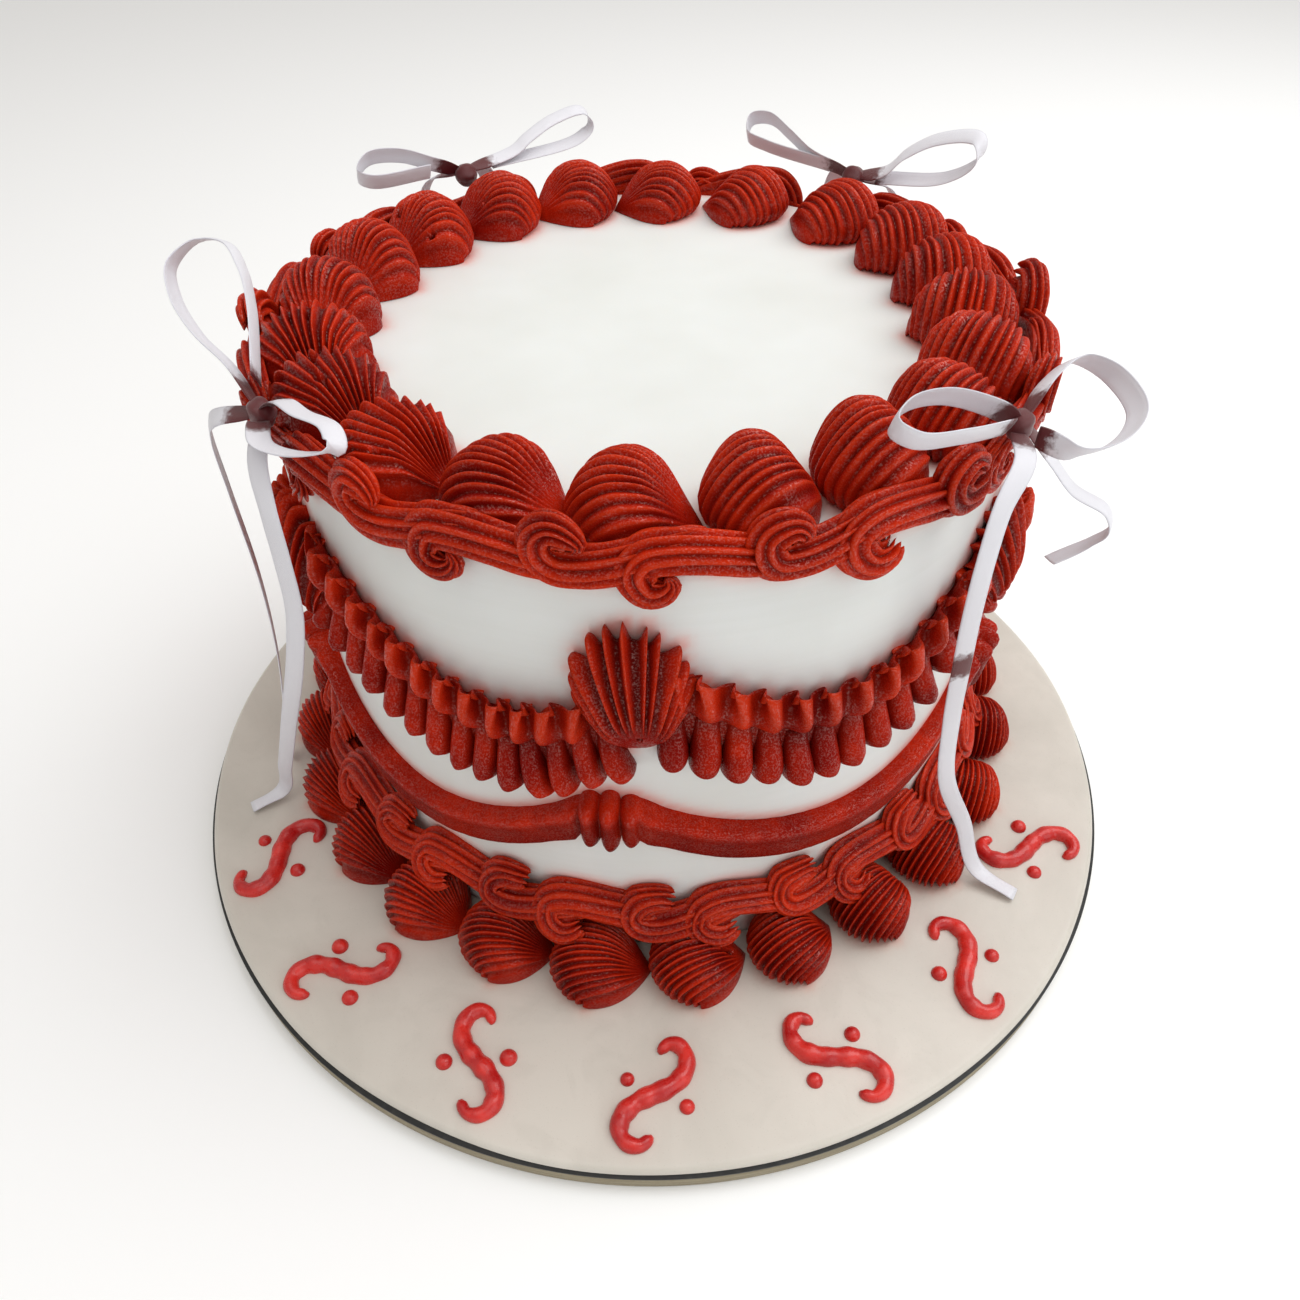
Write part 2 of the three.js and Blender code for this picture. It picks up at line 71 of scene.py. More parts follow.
# a smooth curve through points, resampled to evenly spread steps
def smoothCurve(points, count):
    points = np.asarray(points, float)
    steps = np.linalg.norm(np.diff(points[:, :3], axis=0), axis=1)
    knots = np.r_[0, np.cumsum(np.maximum(steps, 1e-3) ** 0.5)]
    slope = np.gradient(points, knots, axis=0)

    def at(where):
        i = np.clip(np.searchsorted(knots, where) - 1, 0, len(knots) - 2)
        width = (knots[i + 1] - knots[i])[:, None]
        t = (where - knots[i])[:, None] / width
        a, b, m, n = points[i], points[i + 1], slope[i] * width, slope[i + 1] * width
        return (2*t**3 - 3*t**2 + 1) * a + (t**3 - 2*t**2 + t) * m + (3*t**2 - 2*t**3) * b + (t**3 - t**2) * n

    fine = at(np.linspace(0, knots[-1], 400))
    run = np.r_[0, np.cumsum(np.linalg.norm(np.diff(fine[:, :3], axis=0), axis=1))]
    even = np.interp(np.linspace(0, run[-1], count), run, np.linspace(0, knots[-1], 400))
    return at(even)


# ridges left by a star nozzle: x counts them, edge 0 is soft, 1 has cut grooves, -1 has sharp crests
def ridgeWave(x, edge):
    soft = np.cos(2 * math.pi * x)
    if edge >= 0:
        return soft * (1 - edge) + (2 * np.abs(np.cos(math.pi * x)) - 1) * edge
    return soft * (1 + edge) + (1 - 2 * np.abs(np.sin(math.pi * x))) * -edge


# move a grid of points along its own normals, by more or less at each point
def pushOut(grid, amount, outward):
    normal = np.cross(np.gradient(grid, axis=0), np.gradient(grid, axis=1))
    length = np.linalg.norm(normal, axis=-1, keepdims=True)
    normal = np.where(length > 1e-9, normal / np.maximum(length, 1e-9), 0)
    if np.sum(normal * outward) < 0:
        normal = -normal
    return grid + normal * amount[..., None]


def newShape():
    return {"points": [], "faces": [], "count": 0, "values": {}}


# add a grid of points to a shape, with the ends closed where asked, and a number at each point if given
def addGrid(shape, grid, roundColumns=False, capFirst=False, capLast=False, **values):
    rows, columns = grid.shape[:2]
    across = columns if roundColumns else columns - 1
    row, column = np.meshgrid(np.arange(rows - 1), np.arange(across), indexing="ij")
    here, below, nextColumn = row * columns, (row + 1) * columns, (column + 1) % columns
    quads = np.stack([here + column, here + nextColumn, below + nextColumn, below + column], -1)
    start = shape["count"]
    shape["faces"] += (quads.reshape(-1, 4) + start).tolist()
    if capFirst:
        shape["faces"].append(list(range(start, start + columns)))
    if capLast:
        shape["faces"].append(list(range(start + (rows - 1) * columns, start + rows * columns)))
    shape["points"].append(grid.reshape(-1, 3))
    shape["count"] += rows * columns
    for name, value in values.items():
        shape["values"].setdefault(name, []).append(np.broadcast_to(value, (rows, columns)).reshape(-1))


# turn a shape into a Blender object that rides on the cake and stands for the named solids
def makePiece(name, shape, finish, replaced=(), weld=0.0):
    points = np.concatenate(shape["points"])
    mesh = bpy.data.meshes.new(name)
    mesh.from_pydata((points * 0.001).tolist(), [], shape["faces"])
    for valueName, parts in shape["values"].items():
        layer = mesh.attributes.new(valueName, "FLOAT", "POINT")
        layer.data.foreach_set("value", np.concatenate(parts).astype(np.float32))
    work = bmesh.new()
    work.from_mesh(mesh)
    if weld:
        bmesh.ops.remove_doubles(work, verts=work.verts, dist=weld * 0.001)
    bmesh.ops.recalc_face_normals(work, faces=work.faces)
    work.to_mesh(mesh)
    work.free()
    mesh.polygons.foreach_set("use_smooth", [True] * len(mesh.polygons))
    mesh.materials.append(finish)
    piece = bpy.data.objects.new(name, mesh)
    bpy.context.collection.objects.link(piece)
    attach(piece, "root")
    if replaced:
        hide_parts(*replaced)
    return piece


# a piece made of one grid of points
def gridPiece(name, grid, finish, slotName, replaced, weld=0.0, **options):
    shape = newShape()
    addGrid(shape, grid, **options)
    return makePiece(name, shape, finish, replaced, weld)


# small helpers for the finishes
def newFinish(name):
    finish = bpy.data.materials.new(name)
    finish.use_nodes = True
    tree = finish.node_tree
    return finish, tree, tree.nodes["Principled BSDF"]


def addNode(tree, kind, inputs=None, **settings):
    node = tree.nodes.new(kind)
    for key, value in settings.items():
        setattr(node, key, value)
    for key, value in (inputs or {}).items():
        socket = node.inputs[key]
        if isinstance(value, bpy.types.NodeSocket):
            tree.links.new(value, socket)
        else:
            socket.default_value = value
    return node


def noise(tree, where, scale, detail=3.0, rough=0.5, distortion=0.0):
    return addNode(tree, "ShaderNodeTexNoise", {
        "Vector": where, "Scale": scale, "Detail": detail, "Roughness": rough, "Distortion": distortion,
    }).outputs["Fac"]


def remap(tree, value, low, high, newLow=0.0, newHigh=1.0):
    return addNode(tree, "ShaderNodeMapRange", {
        "Value": value, "From Min": low, "From Max": high, "To Min": newLow, "To Max": newHigh,
    }).outputs["Result"]


def mixColour(tree, share, first, second):
    node = tree.nodes.new("ShaderNodeMix")
    node.data_type = "RGBA"
    for socket, value in ((node.inputs[0], share), (node.inputs[6], first), (node.inputs[7], second)):
        if isinstance(value, bpy.types.NodeSocket):
            tree.links.new(value, socket)
        else:
            socket.default_value = (*value, 1) if isinstance(value, tuple) and len(value) == 3 else value
    return node.outputs[2]


def bump(tree, height, strength, distance, after=None):
    inputs = {"Height": height, "Strength": strength, "Distance": distance * 0.001}
    if after is not None:
        inputs["Normal"] = after
    return addNode(tree, "ShaderNodeBump", inputs).outputs["Normal"]


def objectPlace(tree):
    return addNode(tree, "ShaderNodeTexCoord").outputs["Object"]


def stretch(tree, place, scale):
    return addNode(tree, "ShaderNodeMapping", {"Vector": place, "Scale": scale}).outputs["Vector"]


def cells(tree, place, scale):
    return addNode(tree, "ShaderNodeTexVoronoi", {"Vector": place, "Scale": scale}).outputs["Distance"]


def pointValue(tree, name):
    return addNode(tree, "ShaderNodeAttribute", attribute_name=name).outputs["Fac"]


# red icing: deep brick red, cloudy in tone, with painted shade in the grooves and a painted highlight on the
# crests, a fine wet shimmer and pin holes
redIcing = {"deep": (0.215, 0.004, 0.0015), "bright": (0.52, 0.02, 0.003), "paintedGrooveShade": (0.085, 0.0013, 0.0006),
            "paintedCrestHighlight": (0.62, 0.045, 0.01), "roughness": 0.42, "grain": 0.6, "cloudScale": 45.0,
            "shimmerScale": 2100.0, "pinHoles": 260.0}


def makeRedIcing(name, spec):
    finish, tree, surface = newFinish(name)
    place = objectPlace(tree)
    clouds = remap(tree, noise(tree, place, spec["cloudScale"], 4, 0.55), 0.36, 0.66)
    streaks = noise(tree, place, spec["cloudScale"] * 9, 3, 0.6)
    tone = mixColour(tree, clouds, spec["deep"], spec["bright"])
    tone = mixColour(tree, remap(tree, streaks, 0.35, 0.7, 0.0, 0.35), tone, spec["deep"])
    # the ridge value paints shade into the grooves and a highlight onto the crests of the base colour
    ridge = pointValue(tree, "ridge")
    tone = mixColour(tree, remap(tree, ridge, 0.0, 0.5), spec["paintedGrooveShade"], tone)
    tone = mixColour(tree, remap(tree, ridge, 0.6, 1.0, 0.0, 0.55), tone, spec["paintedCrestHighlight"])
    tree.links.new(tone, surface.inputs["Base Color"])
    shimmer = noise(tree, place, spec["shimmerScale"], 2, 0.7)
    rough = remap(tree, shimmer, 0.42, 0.64, spec["roughness"] + 0.14, spec["roughness"] - 0.18)
    tree.links.new(rough, surface.inputs["Roughness"])
    holes = cells(tree, place, spec["pinHoles"])
    pits = remap(tree, holes, 0.03, 0.12)
    grain = bump(tree, shimmer, spec["grain"], 0.12)
    lumps = bump(tree, noise(tree, place, 700, 3, 0.6), 0.25, 0.35, grain)
    tree.links.new(bump(tree, pits, 0.5, 0.4, lumps), surface.inputs["Normal"])
    sparkle = remap(tree, shimmer, 0.5, 0.62, 0.05, 1.0)
    tree.links.new(sparkle, surface.inputs["Specular IOR Level"])
    surface.inputs["Specular Tint"].default_value = (1.0, 0.62, 0.55, 1)
    surface.inputs["Subsurface Weight"].default_value = 0.05
    surface.inputs["Subsurface Radius"].default_value = (1.0, 0.2, 0.1)
    surface.inputs["Subsurface Scale"].default_value = 0.0015
    return finish


# white icing: smoothed buttercream with faint scraper streaks, tinted where the red has bled
whiteIcing = {"tone": (0.77, 0.785, 0.77), "shade": (0.71, 0.72, 0.69), "bleed": (0.85, 0.16, 0.09),
              "roughness": 0.52}


def makeWhiteIcing(name, spec):
    finish, tree, surface = newFinish(name)
    place = objectPlace(tree)
    stretched = stretch(tree, place, (12.0, 12.0, 420.0))
    streaks = noise(tree, stretched, 1.0, 4, 0.6)
    patches = remap(tree, noise(tree, place, 22, 3, 0.5), 0.35, 0.7)
    tone = mixColour(tree, patches, spec["tone"], spec["shade"])
    tone = mixColour(tree, remap(tree, streaks, 0.45, 0.75, 0.0, 0.3), tone, spec["shade"])
    bled = pointValue(tree, "bleed")
    tone = mixColour(tree, bled, tone, spec["bleed"])
    tree.links.new(tone, surface.inputs["Base Color"])
    tree.links.new(remap(tree, streaks, 0.3, 0.7, spec["roughness"] - 0.08, spec["roughness"] + 0.1),
                   surface.inputs["Roughness"])
    fine = bump(tree, noise(tree, place, 900, 3, 0.6), 0.12, 0.12)
    tree.links.new(bump(tree, streaks, 0.3, 0.25, fine), surface.inputs["Normal"])
    surface.inputs["Subsurface Weight"].default_value = 0.12
    surface.inputs["Subsurface Radius"].default_value = (1.0, 0.8, 0.6)
    surface.inputs["Subsurface Scale"].default_value = 0.002
    return finish


# rolled sugar paste of the board: warm pale grey, faintly marbled, with tiny sparkling grains
sugarPaste = {"tone": (0.65, 0.605, 0.54), "cloud": (0.555, 0.515, 0.455), "bleed": (0.62, 0.20, 0.13),
              "roughness": 0.38, "grainScale": 900.0}


def makeSugarPaste(name, spec):
    finish, tree, surface = newFinish(name)
    place = objectPlace(tree)
    clouds = remap(tree, noise(tree, place, 16, 5, 0.55, 0.8), 0.38, 0.68)
    tone = mixColour(tree, clouds, spec["tone"], spec["cloud"])
    veins = remap(tree, noise(tree, place, 60, 4, 0.6, 1.5), 0.5, 0.62, 0.0, 0.25)
    tone = mixColour(tree, veins, tone, spec["cloud"])
    bled = pointValue(tree, "bleed")
    tone = mixColour(tree, bled, tone, spec["bleed"])
    tree.links.new(tone, surface.inputs["Base Color"])
    grains = cells(tree, place, spec["grainScale"])
    rough = remap(tree, grains, 0.05, 0.22, spec["roughness"] - 0.22, spec["roughness"])
    tree.links.new(rough, surface.inputs["Roughness"])
    wavy = bump(tree, noise(tree, place, 45, 3, 0.5), 0.25, 0.5)
    tree.links.new(bump(tree, grains, 0.15, 0.12, wavy), surface.inputs["Normal"])
    return finish


# raw fibreboard edge and its glossy black facing
boardEdge = {"tone": (0.36, 0.31, 0.215), "dark": (0.24, 0.20, 0.13)}


def makeFibreboard(name, spec):
    finish, tree, surface = newFinish(name)
    place = objectPlace(tree)
    layered = stretch(tree, place, (60.0, 60.0, 2200.0))
    fibres = noise(tree, layered, 1.0, 4, 0.7)
    specks = noise(tree, place, 1200, 2, 0.6)
    tone = mixColour(tree, remap(tree, fibres, 0.35, 0.65), spec["tone"], spec["dark"])
    tone = mixColour(tree, remap(tree, specks, 0.55, 0.7, 0.0, 0.5), tone, spec["dark"])
    tree.links.new(tone, surface.inputs["Base Color"])
    surface.inputs["Roughness"].default_value = 0.9
    tree.links.new(bump(tree, specks, 0.5, 0.2, bump(tree, fibres, 0.4, 0.2)), surface.inputs["Normal"])
    return finish


def makeBlackFacing(name):
    finish, tree, surface = newFinish(name)
    place = objectPlace(tree)
    scuffs = noise(tree, place, 350, 4, 0.65)
    tone = mixColour(tree, remap(tree, scuffs, 0.45, 0.75), (0.010, 0.010, 0.010), (0.03, 0.028, 0.026))
    tree.links.new(tone, surface.inputs["Base Color"])
    tree.links.new(remap(tree, scuffs, 0.3, 0.7, 0.3, 0.55), surface.inputs["Roughness"])
    tree.links.new(bump(tree, scuffs, 0.2, 0.1), surface.inputs["Normal"])
    return finish


# piped scrolls on the board: brighter, glossier red gel icing
gelRed = {"deep": (0.46, 0.010, 0.010), "bright": (0.72, 0.035, 0.025), "roughness": 0.26}


def makeGelRed(name, spec):
    finish, tree, surface = newFinish(name)
    place = objectPlace(tree)
    clouds = remap(tree, noise(tree, place, 160, 3, 0.5), 0.35, 0.68)
    tree.links.new(mixColour(tree, clouds, spec["deep"], spec["bright"]), surface.inputs["Base Color"])
    ripples = noise(tree, place, 420, 2, 0.5)
    tree.links.new(remap(tree, ripples, 0.3, 0.7, spec["roughness"] - 0.06, spec["roughness"] + 0.1),
                   surface.inputs["Roughness"])
    tree.links.new(bump(tree, ripples, 0.35, 0.5), surface.inputs["Normal"])
    surface.inputs["Subsurface Weight"].default_value = 0.1
    surface.inputs["Subsurface Radius"].default_value = (1.0, 0.2, 0.15)
    surface.inputs["Subsurface Scale"].default_value = 0.001
    return finish


# satin ribbon: fine slanting weave with painted lilac shade in its grooves and along its edges, soaked dark
# red near the icing
satinRibbon = {"tone": (0.83, 0.82, 0.86), "shade": (0.62, 0.60, 0.68), "dye": (0.10, 0.004, 0.006),
               "weave": 0.42}


def makeSatin(name, spec):
    finish, tree, surface = newFinish(name)
    strip = pointValue(tree, "alongRibbon")
    side = pointValue(tree, "acrossRibbon")
    flat = addNode(tree, "ShaderNodeCombineXYZ", {"X": strip, "Y": side}).outputs["Vector"]
    turned = addNode(tree, "ShaderNodeMapping", {
        "Vector": flat, "Rotation": (0.0, 0.0, 0.6),
    }).outputs["Vector"]
    twill = addNode(tree, "ShaderNodeTexWave", {
        "Vector": turned, "Scale": 1.0 / spec["weave"], "Distortion": 0.6, "Detail": 1.0, "Detail Scale": 2.0,
    }).outputs["Fac"]
    edge = remap(tree, addNode(tree, "ShaderNodeMath", {0: side}, operation="ABSOLUTE").outputs[0], 1.95, 2.2)
    # painted shade: the weave's grooves and the thicker edges are mixed towards the lilac shade colour
    tone = mixColour(tree, remap(tree, twill, 0.2, 0.9, 0.0, 0.4), spec["tone"], spec["shade"])
    tone = mixColour(tree, remap(tree, edge, 0, 1, 0.0, 0.35), tone, spec["shade"])
    dyed = pointValue(tree, "dyed")
    blotch = noise(tree, flat, 0.5, 4, 0.65)
    soaked = addNode(tree, "ShaderNodeMath", {0: dyed, 1: blotch}, operation="ADD").outputs[0]
    tone = mixColour(tree, remap(tree, soaked, 0.75, 1.15), tone, spec["dye"])
    tree.links.new(tone, surface.inputs["Base Color"])
    surface.inputs["Roughness"].default_value = 0.36
    surface.inputs["Anisotropic"].default_value = 0.4
    surface.inputs["Sheen Weight"].default_value = 0.25
    surface.inputs["Sheen Roughness"].default_value = 0.4
    tree.links.new(bump(tree, edge, 0.4, 0.1, bump(tree, twill, 0.5, 0.07)), surface.inputs["Normal"])
    return finish


redFinish = makeRedIcing("redIcing", redIcing)
whiteFinish = makeWhiteIcing("whiteIcing", whiteIcing)
pasteFinish = makeSugarPaste("sugarPaste", sugarPaste)
edgeFinish = makeFibreboard("fibreboard", boardEdge)
blackFinish = makeBlackFacing("blackFacing")
gelFinish = makeGelRed("gelRed", gelRed)
satinFinish = makeSatin("satinRibbon", satinRibbon)
print("finishes ready")

redPoints = []  # where red icing lies, so that it can tint the white under its edges
rimRows = 5  # rows of points that close a shell's side, down to what it lies on


# a ridged shell that opens from its tail at (0, 0): lines run from the tail, over the dome, to the
# head's rim. Gives along, across and up for each point, and how far up a ridge it lies.
def scallop(spec, seed):
    draw = np.random.RandomState(seed)
    ridges = spec["ridges"]
    share = np.linspace(-1, 1, ridges * spec["fine"] + 1)
    count = (share + 1) / 2 * ridges
    count = count + spec["uneven"] * np.interp(count, np.arange(ridges + 1), draw.uniform(-1, 1, ridges + 1))
    strength = np.interp(count, np.arange(ridges + 1), draw.uniform(0.6, 1.2, ridges + 1))
    # the head is a round of this size; the lines end on it, from one side of the tail to the other
    angle = share * math.radians(spec["wrap"])
    size = spec["head"] * (1 + 0.03 * np.sin(angle * 2 + draw.uniform(0, 6)))
    away = np.stack([np.cos(angle), np.sin(angle)], -1)
    reach = size[:, None] * np.array([1.0, spec["wide"]])
    ends = np.array([spec["length"] - spec["head"], 0]) + away * reach
    bulge = np.sign(share) * np.abs(np.sin(angle)) * spec["bulge"] * spec["length"]
    middle = ends / 2 + np.stack([0 * bulge, bulge], -1)
    way = 1 - (1 - np.linspace(0, 1, spec["rows"])) ** 1.4
    t = way[:, None, None]
    plan = 2 * t * (1 - t) * middle + t * t * ends
    rho = way[:, None] + 0 * share
    tall = spec["height"] * np.maximum(np.cos(share * math.pi / 2), 0) ** spec["flank"] + 0 * rho
    peak = spec["peak"]
    lift = np.where(rho < peak, np.sin(math.pi / 2 * np.minimum(rho / peak, 1)) ** spec["tail"],
                    np.cos(math.pi / 2 * np.clip((rho - peak) / (1 - peak), 0, 1)) ** spec["full"])
    low = tall * spec["rim"]
    up = easeIn(rho, 0, 0.5) * low + lift * (tall - low)
    grid = np.concatenate([plan, up[..., None]], -1)
    under = np.linspace(0, math.pi / 2, rimRows + 1)[1:, None]
    shrink = (1 - spec["tuck"] * (1 - np.cos(under)))[..., None]
    side = np.concatenate([plan[-1] * shrink, (up[-1] * (1 - np.sin(under)))[..., None]], -1)
    grid = np.concatenate([grid, side])
    t = np.r_[way, np.ones(rimRows)][:, None]
    wave = ridgeWave(count + 0 * t, spec["edge"])
    wave = 2 * ((wave + 1) / 2) ** spec.get("thin", 1) - 1
    fade = easeIn(t, spec["fadeFrom"], spec["fadeTo"]) * np.maximum(np.cos(share * math.pi / 2), 0) ** 0.3
    fade = fade * (1 - spec["rimFade"] * easeIn(t, 0.86, 1))
    # how far up a ridge each point lies; it paints shade in the grooves and a highlight on the crests
    ridge = 0.5 + 0.5 * wave * fade
    grid = pushOut(grid, wave * strength * fade * spec["depth"], np.array([0, 0, 1.0]))
    teeth = spec.get("teeth", 0) * wave * easeIn(t, 0.7, 1)
    grid[..., 0] += teeth * np.cos(angle)
    grid[..., 1] += teeth * np.sin(angle)
    for x, y, radius, deep in spec.get("holes", ()):
        away = np.hypot(grid[..., 0] - x, (grid[..., 1] - y) * 1.3)
        grid[..., 2] -= deep * (1 - easeIn(away, radius * 0.7, radius))
        # painted shade inside the air holes
        ridge = ridge * easeIn(away, radius * 0.6, radius)
    return grid, ridge


# turn a shell in its own plane about the middle of its length
def leanShell(grid, length, lean):
    a = math.radians(lean)
    x, y = grid[..., 0] - length / 2, grid[..., 1]
    return x * math.cos(a) - y * math.sin(a), x * math.sin(a) + y * math.cos(a), grid[..., 2]


def markRim(points):
    redPoints.append(points[-rimRows - 3:, ::3].reshape(-1, 3))


topShell = {"length": 28.0, "head": 13.3, "wide": 1.0, "wrap": 80, "bulge": 0.3, "height": 16.2,
            "tallerInFront": 0.1, "ridges": 14, "fine": 11, "rows": 38, "peak": 0.62, "tail": 0.85,
            "full": 0.66, "flank": 0.42, "rim": 0.3, "tuck": 0.14, "depth": 0.78, "edge": 0.3,
            "uneven": 0.28, "fadeFrom": 0.12, "fadeTo": 0.5, "rimFade": 0.4}
# what differs in the flatter shells, which have a cut edge and air holes
openShell = {"length": 25.5, "head": 14.0, "wrap": 88, "bulge": 0.14, "height": 13.8, "peak": 0.84,
             "tail": 0.9, "full": 0.6, "flank": 0.3, "rim": 0.6, "depth": 0.85, "edge": -0.35, "thin": 1.2,
             "fadeFrom": 0.08, "fadeTo": 0.32, "rimFade": 0.0, "teeth": 0.65}
# one value for each shell, from the front round by the left; holes are along, across, radius and depth
topShells = {"count": 20, "turn": -2.0, "radius": 85.0, "open": [2, 3, 4],
             "lean": [9, 5, -6, -4, 0, 4, 4, 6, 4, 0, -4, 8, 2, 6, 0, 8, 12, 12, 8, -3],
             "holes": {2: [(12, -8.5, 1.0, 2.0)],
                       3: [(13, -2.5, 2.1, 3.6), (20.5, -0.5, 1.7, 3.0), (5.5, 1.5, 1.5, 3.0)],
                       4: [(17, 0.5, 1.2, 2.6), (16.5, -3.5, 0.9, 2.0)], 5: [(18, 3, 0.9, 2.0)],
                       7: [(9, -5, 1.3, 2.8), (9, 9, 1.2, 2.4)], 8: [(12, -3, 0.9, 2.0), (9, 5, 0.8, 2.0)]},
             "tall": {0: 0.86, 1: 0.82, 2: 0.95, 8: 0.92, 9: 0.94, 10: 0.8, 11: 0.9, 12: 0.92},
             "inward": {5: 1, 6: 2, 7: 2, 8: 1.5, 9: 1, 10: 2, 11: 1, 13: 1, 14: 3, 15: 4, 16: 1},
             "along": {11: -1, 12: -3, 13: -3.5, 14: -2, 15: -1}}


def makeTopShells():
    pitch = 360 / topShells["count"]
    for i in range(topShells["count"]):
        draw = np.random.RandomState(900 + i)
        spec = dict(topShell)
        turn0 = topShells["turn"] - i * pitch
        if i in topShells["open"]:
            spec.update(openShell)
        spec["holes"] = topShells["holes"].get(i, [])
        spec["length"] *= draw.uniform(0.97, 1.03)
        inFront = math.cos(math.radians(turn0))
        spec["height"] *= draw.uniform(0.95, 1.04) * (1 + spec["tallerInFront"] * inFront)
        spec["height"] *= topShells["tall"].get(i, 1)
        grid, ridge = scallop(spec, 300 + i)
        x, y, z = leanShell(grid, spec["length"], topShells["lean"][i] + draw.uniform(-2, 2))
        radius = topShells["radius"] - topShells["inward"].get(i, 0)
        turn = turn0 + topShells["along"].get(i, 0) + np.degrees(-x / radius)
        points = roundCake(turn, radius - y, cake["top"] + 0.15 + z)
        markRim(points)
        node = (topShells["count"] - i) % topShells["count"] + 1
        gridPiece(f"topShell{node:02d}", points, redFinish, "red_icing", [f"top_shell_{node:02d}"], 0.02,
                  capLast=True, ridge=ridge)
    print("top shells piped")


bottomShell = {"length": 28.5, "head": 12.8, "wide": 0.98, "wrap": 82, "bulge": 0.28, "height": 17.4,
               "ridges": 18, "fine": 8, "rows": 34, "peak": 0.64, "tail": 0.8, "full": 0.62,
               "flank": 0.42, "rim": 0.36, "tuck": 0.16, "depth": 0.6, "edge": -0.4, "thin": 1.2,
               "uneven": 0.14, "fadeFrom": 0.12, "fadeTo": 0.36, "rimFade": 0.1, "teeth": 0.6}
bottomShells = {"count": 25, "turn": -7.6, "radius": 113.6, "lean": -4.0,
                "holed": {24: (7.5, -2.0, 1.7, 3.4)}}


def makeBottomShells():
    pitch = 360 / bottomShells["count"]
    shape = newShape()
    for i in range(bottomShells["count"]):
        draw = np.random.RandomState(500 + i)
        spec = dict(bottomShell)
        spec["length"] *= draw.uniform(0.96, 1.04)
        spec["height"] *= draw.uniform(0.93, 1.05)
        if i in bottomShells["holed"]:
            spec["holes"] = [bottomShells["holed"][i]]
        grid, ridge = scallop(spec, 700 + i)
        x, y, z = leanShell(grid, spec["length"], bottomShells["lean"] + draw.uniform(-6, 6))
        turn = bottomShells["turn"] - i * pitch + np.degrees(-x / bottomShells["radius"])
        points = roundCake(turn, bottomShells["radius"] - y, cake["base"] - 0.1 + z)
        addGrid(shape, points, capLast=True, ridge=ridge)
        markRim(points)
    makePiece("bottomShells", shape, redFinish, ["bottom_shell_border"], 0.02)
    print("bottom shells piped")


# a stroke of a star nozzle: controls are x, height and distance out, with the stroke's radius
def ridgedStroke(controls, steps, spec, seed, teeth):
    draw = np.random.RandomState(seed)
    path = smoothCurve(controls, steps)
    centre, radius = path[:, :3], path[:, 3]
    along = np.gradient(centre, axis=0)
    along /= np.linalg.norm(along, axis=1, keepdims=True)
    facing = np.array([0.0, 0.0, 1.0])
    side = np.cross(facing, along)
    side /= np.linalg.norm(side, axis=1, keepdims=True)
    over = np.cross(along, side)
    ridges = spec["ridges"]
    share = np.linspace(0, ridges, ridges * spec["fine"], endpoint=False)
    angle = (share / ridges * 2 - 0.5) * math.pi
    uneven = draw.uniform(-1, 1, ridges)
    bent = share + 0.2 * np.interp(share, np.arange(ridges + 1), [*uneven, uneven[0]])
    twist = np.linspace(0, spec["twist"], steps)[:, None]
    wave = ridgeWave(bent + twist + 0.5, spec["edge"])
    ridge = wave * spec["depth"] * easeIn(radius, 0.6, 2.6)[:, None]
    ring = side[:, None, :] * (np.cos(angle) * (radius[:, None] + ridge))[..., None]
    ring = ring + over[:, None, :] * (np.sin(angle) * (radius[:, None] * spec["tall"] + ridge))[..., None]
    # the first rows are torn off in points, one for each ridge
    torn = (1 - easeIn(np.arange(steps), 0, 5))[:, None] * teeth * (0.3 + wave)
    # the second value paints shade in the grooves and a highlight on the crests
    return centre[:, None, :] + ring - along[:, None, :] * torn[..., None], 0.55 + 0.4 * wave


# one scroll of a border: along, height, distance out and radius of the stroke. A curled head turns in
# on itself, a hooked one is open and torn off in points; both tails sweep on under the next head.
curledHead = [(2.2, 0.2, 3.7, 0.6), (3.1, 1.9, 3.6, 1.8), (1.3, 3.9, 3.1, 2.9), (-1.6, 4.2, 2.6, 3.7),
              (-3.9, 2.2, 2.1, 4.3), (-4.1, -1.2, 1.8, 4.6), (-1.6, -3.8, 1.6, 4.7)]
hookedHead = [(6.2, 4.5, 2.5, 2.2), (4.2, 5.3, 2.9, 3.3), (1.2, 5.2, 3.0, 3.9), (-2.2, 3.8, 2.6, 4.3),
              (-4.0, 0.7, 2.2, 4.5), (-3.2, -2.4, 1.9, 4.6), (-0.4, -4.1, 1.7, 4.7)]
scrollTail = [(3.6, -4.5, 1.5, 4.6), (8.4, -3.9, 1.3, 4.5), (14.0, -2.6, 1.0, 4.4), (20.0, -1.0, 0.7, 4.2),
              (25.0, 0.0, 0.2, 3.6), (28.0, 0.3, -0.6, 2.2)]
upperScroll = {"count": 28, "turn": -10.0, "middle": 148.7, "lift": 2.2, "scale": 0.96, "downShift": -2.2,
               "ridges": 10, "fine": 7, "steps": 76, "depth": 0.8, "edge": 0.5, "twist": 0.7, "tall": 0.76,
               "leanOut": 0.0, "hooked": [3, 8, 13, 17, 22], "teeth": 1.2, "lowerBehind": 6.0}
lowerScroll = {"count": 32, "turn": -1.0, "middle": 31.6, "lift": 1.2, "scale": 0.84, "downShift": -1.9,
               "ridges": 10, "fine": 7, "steps": 70, "depth": 0.72, "edge": 0.35, "twist": 1.0, "tall": 0.8,
               "leanOut": 0.5, "hooked": list(range(32)), "teeth": 1.3, "lowerBehind": 0.0}


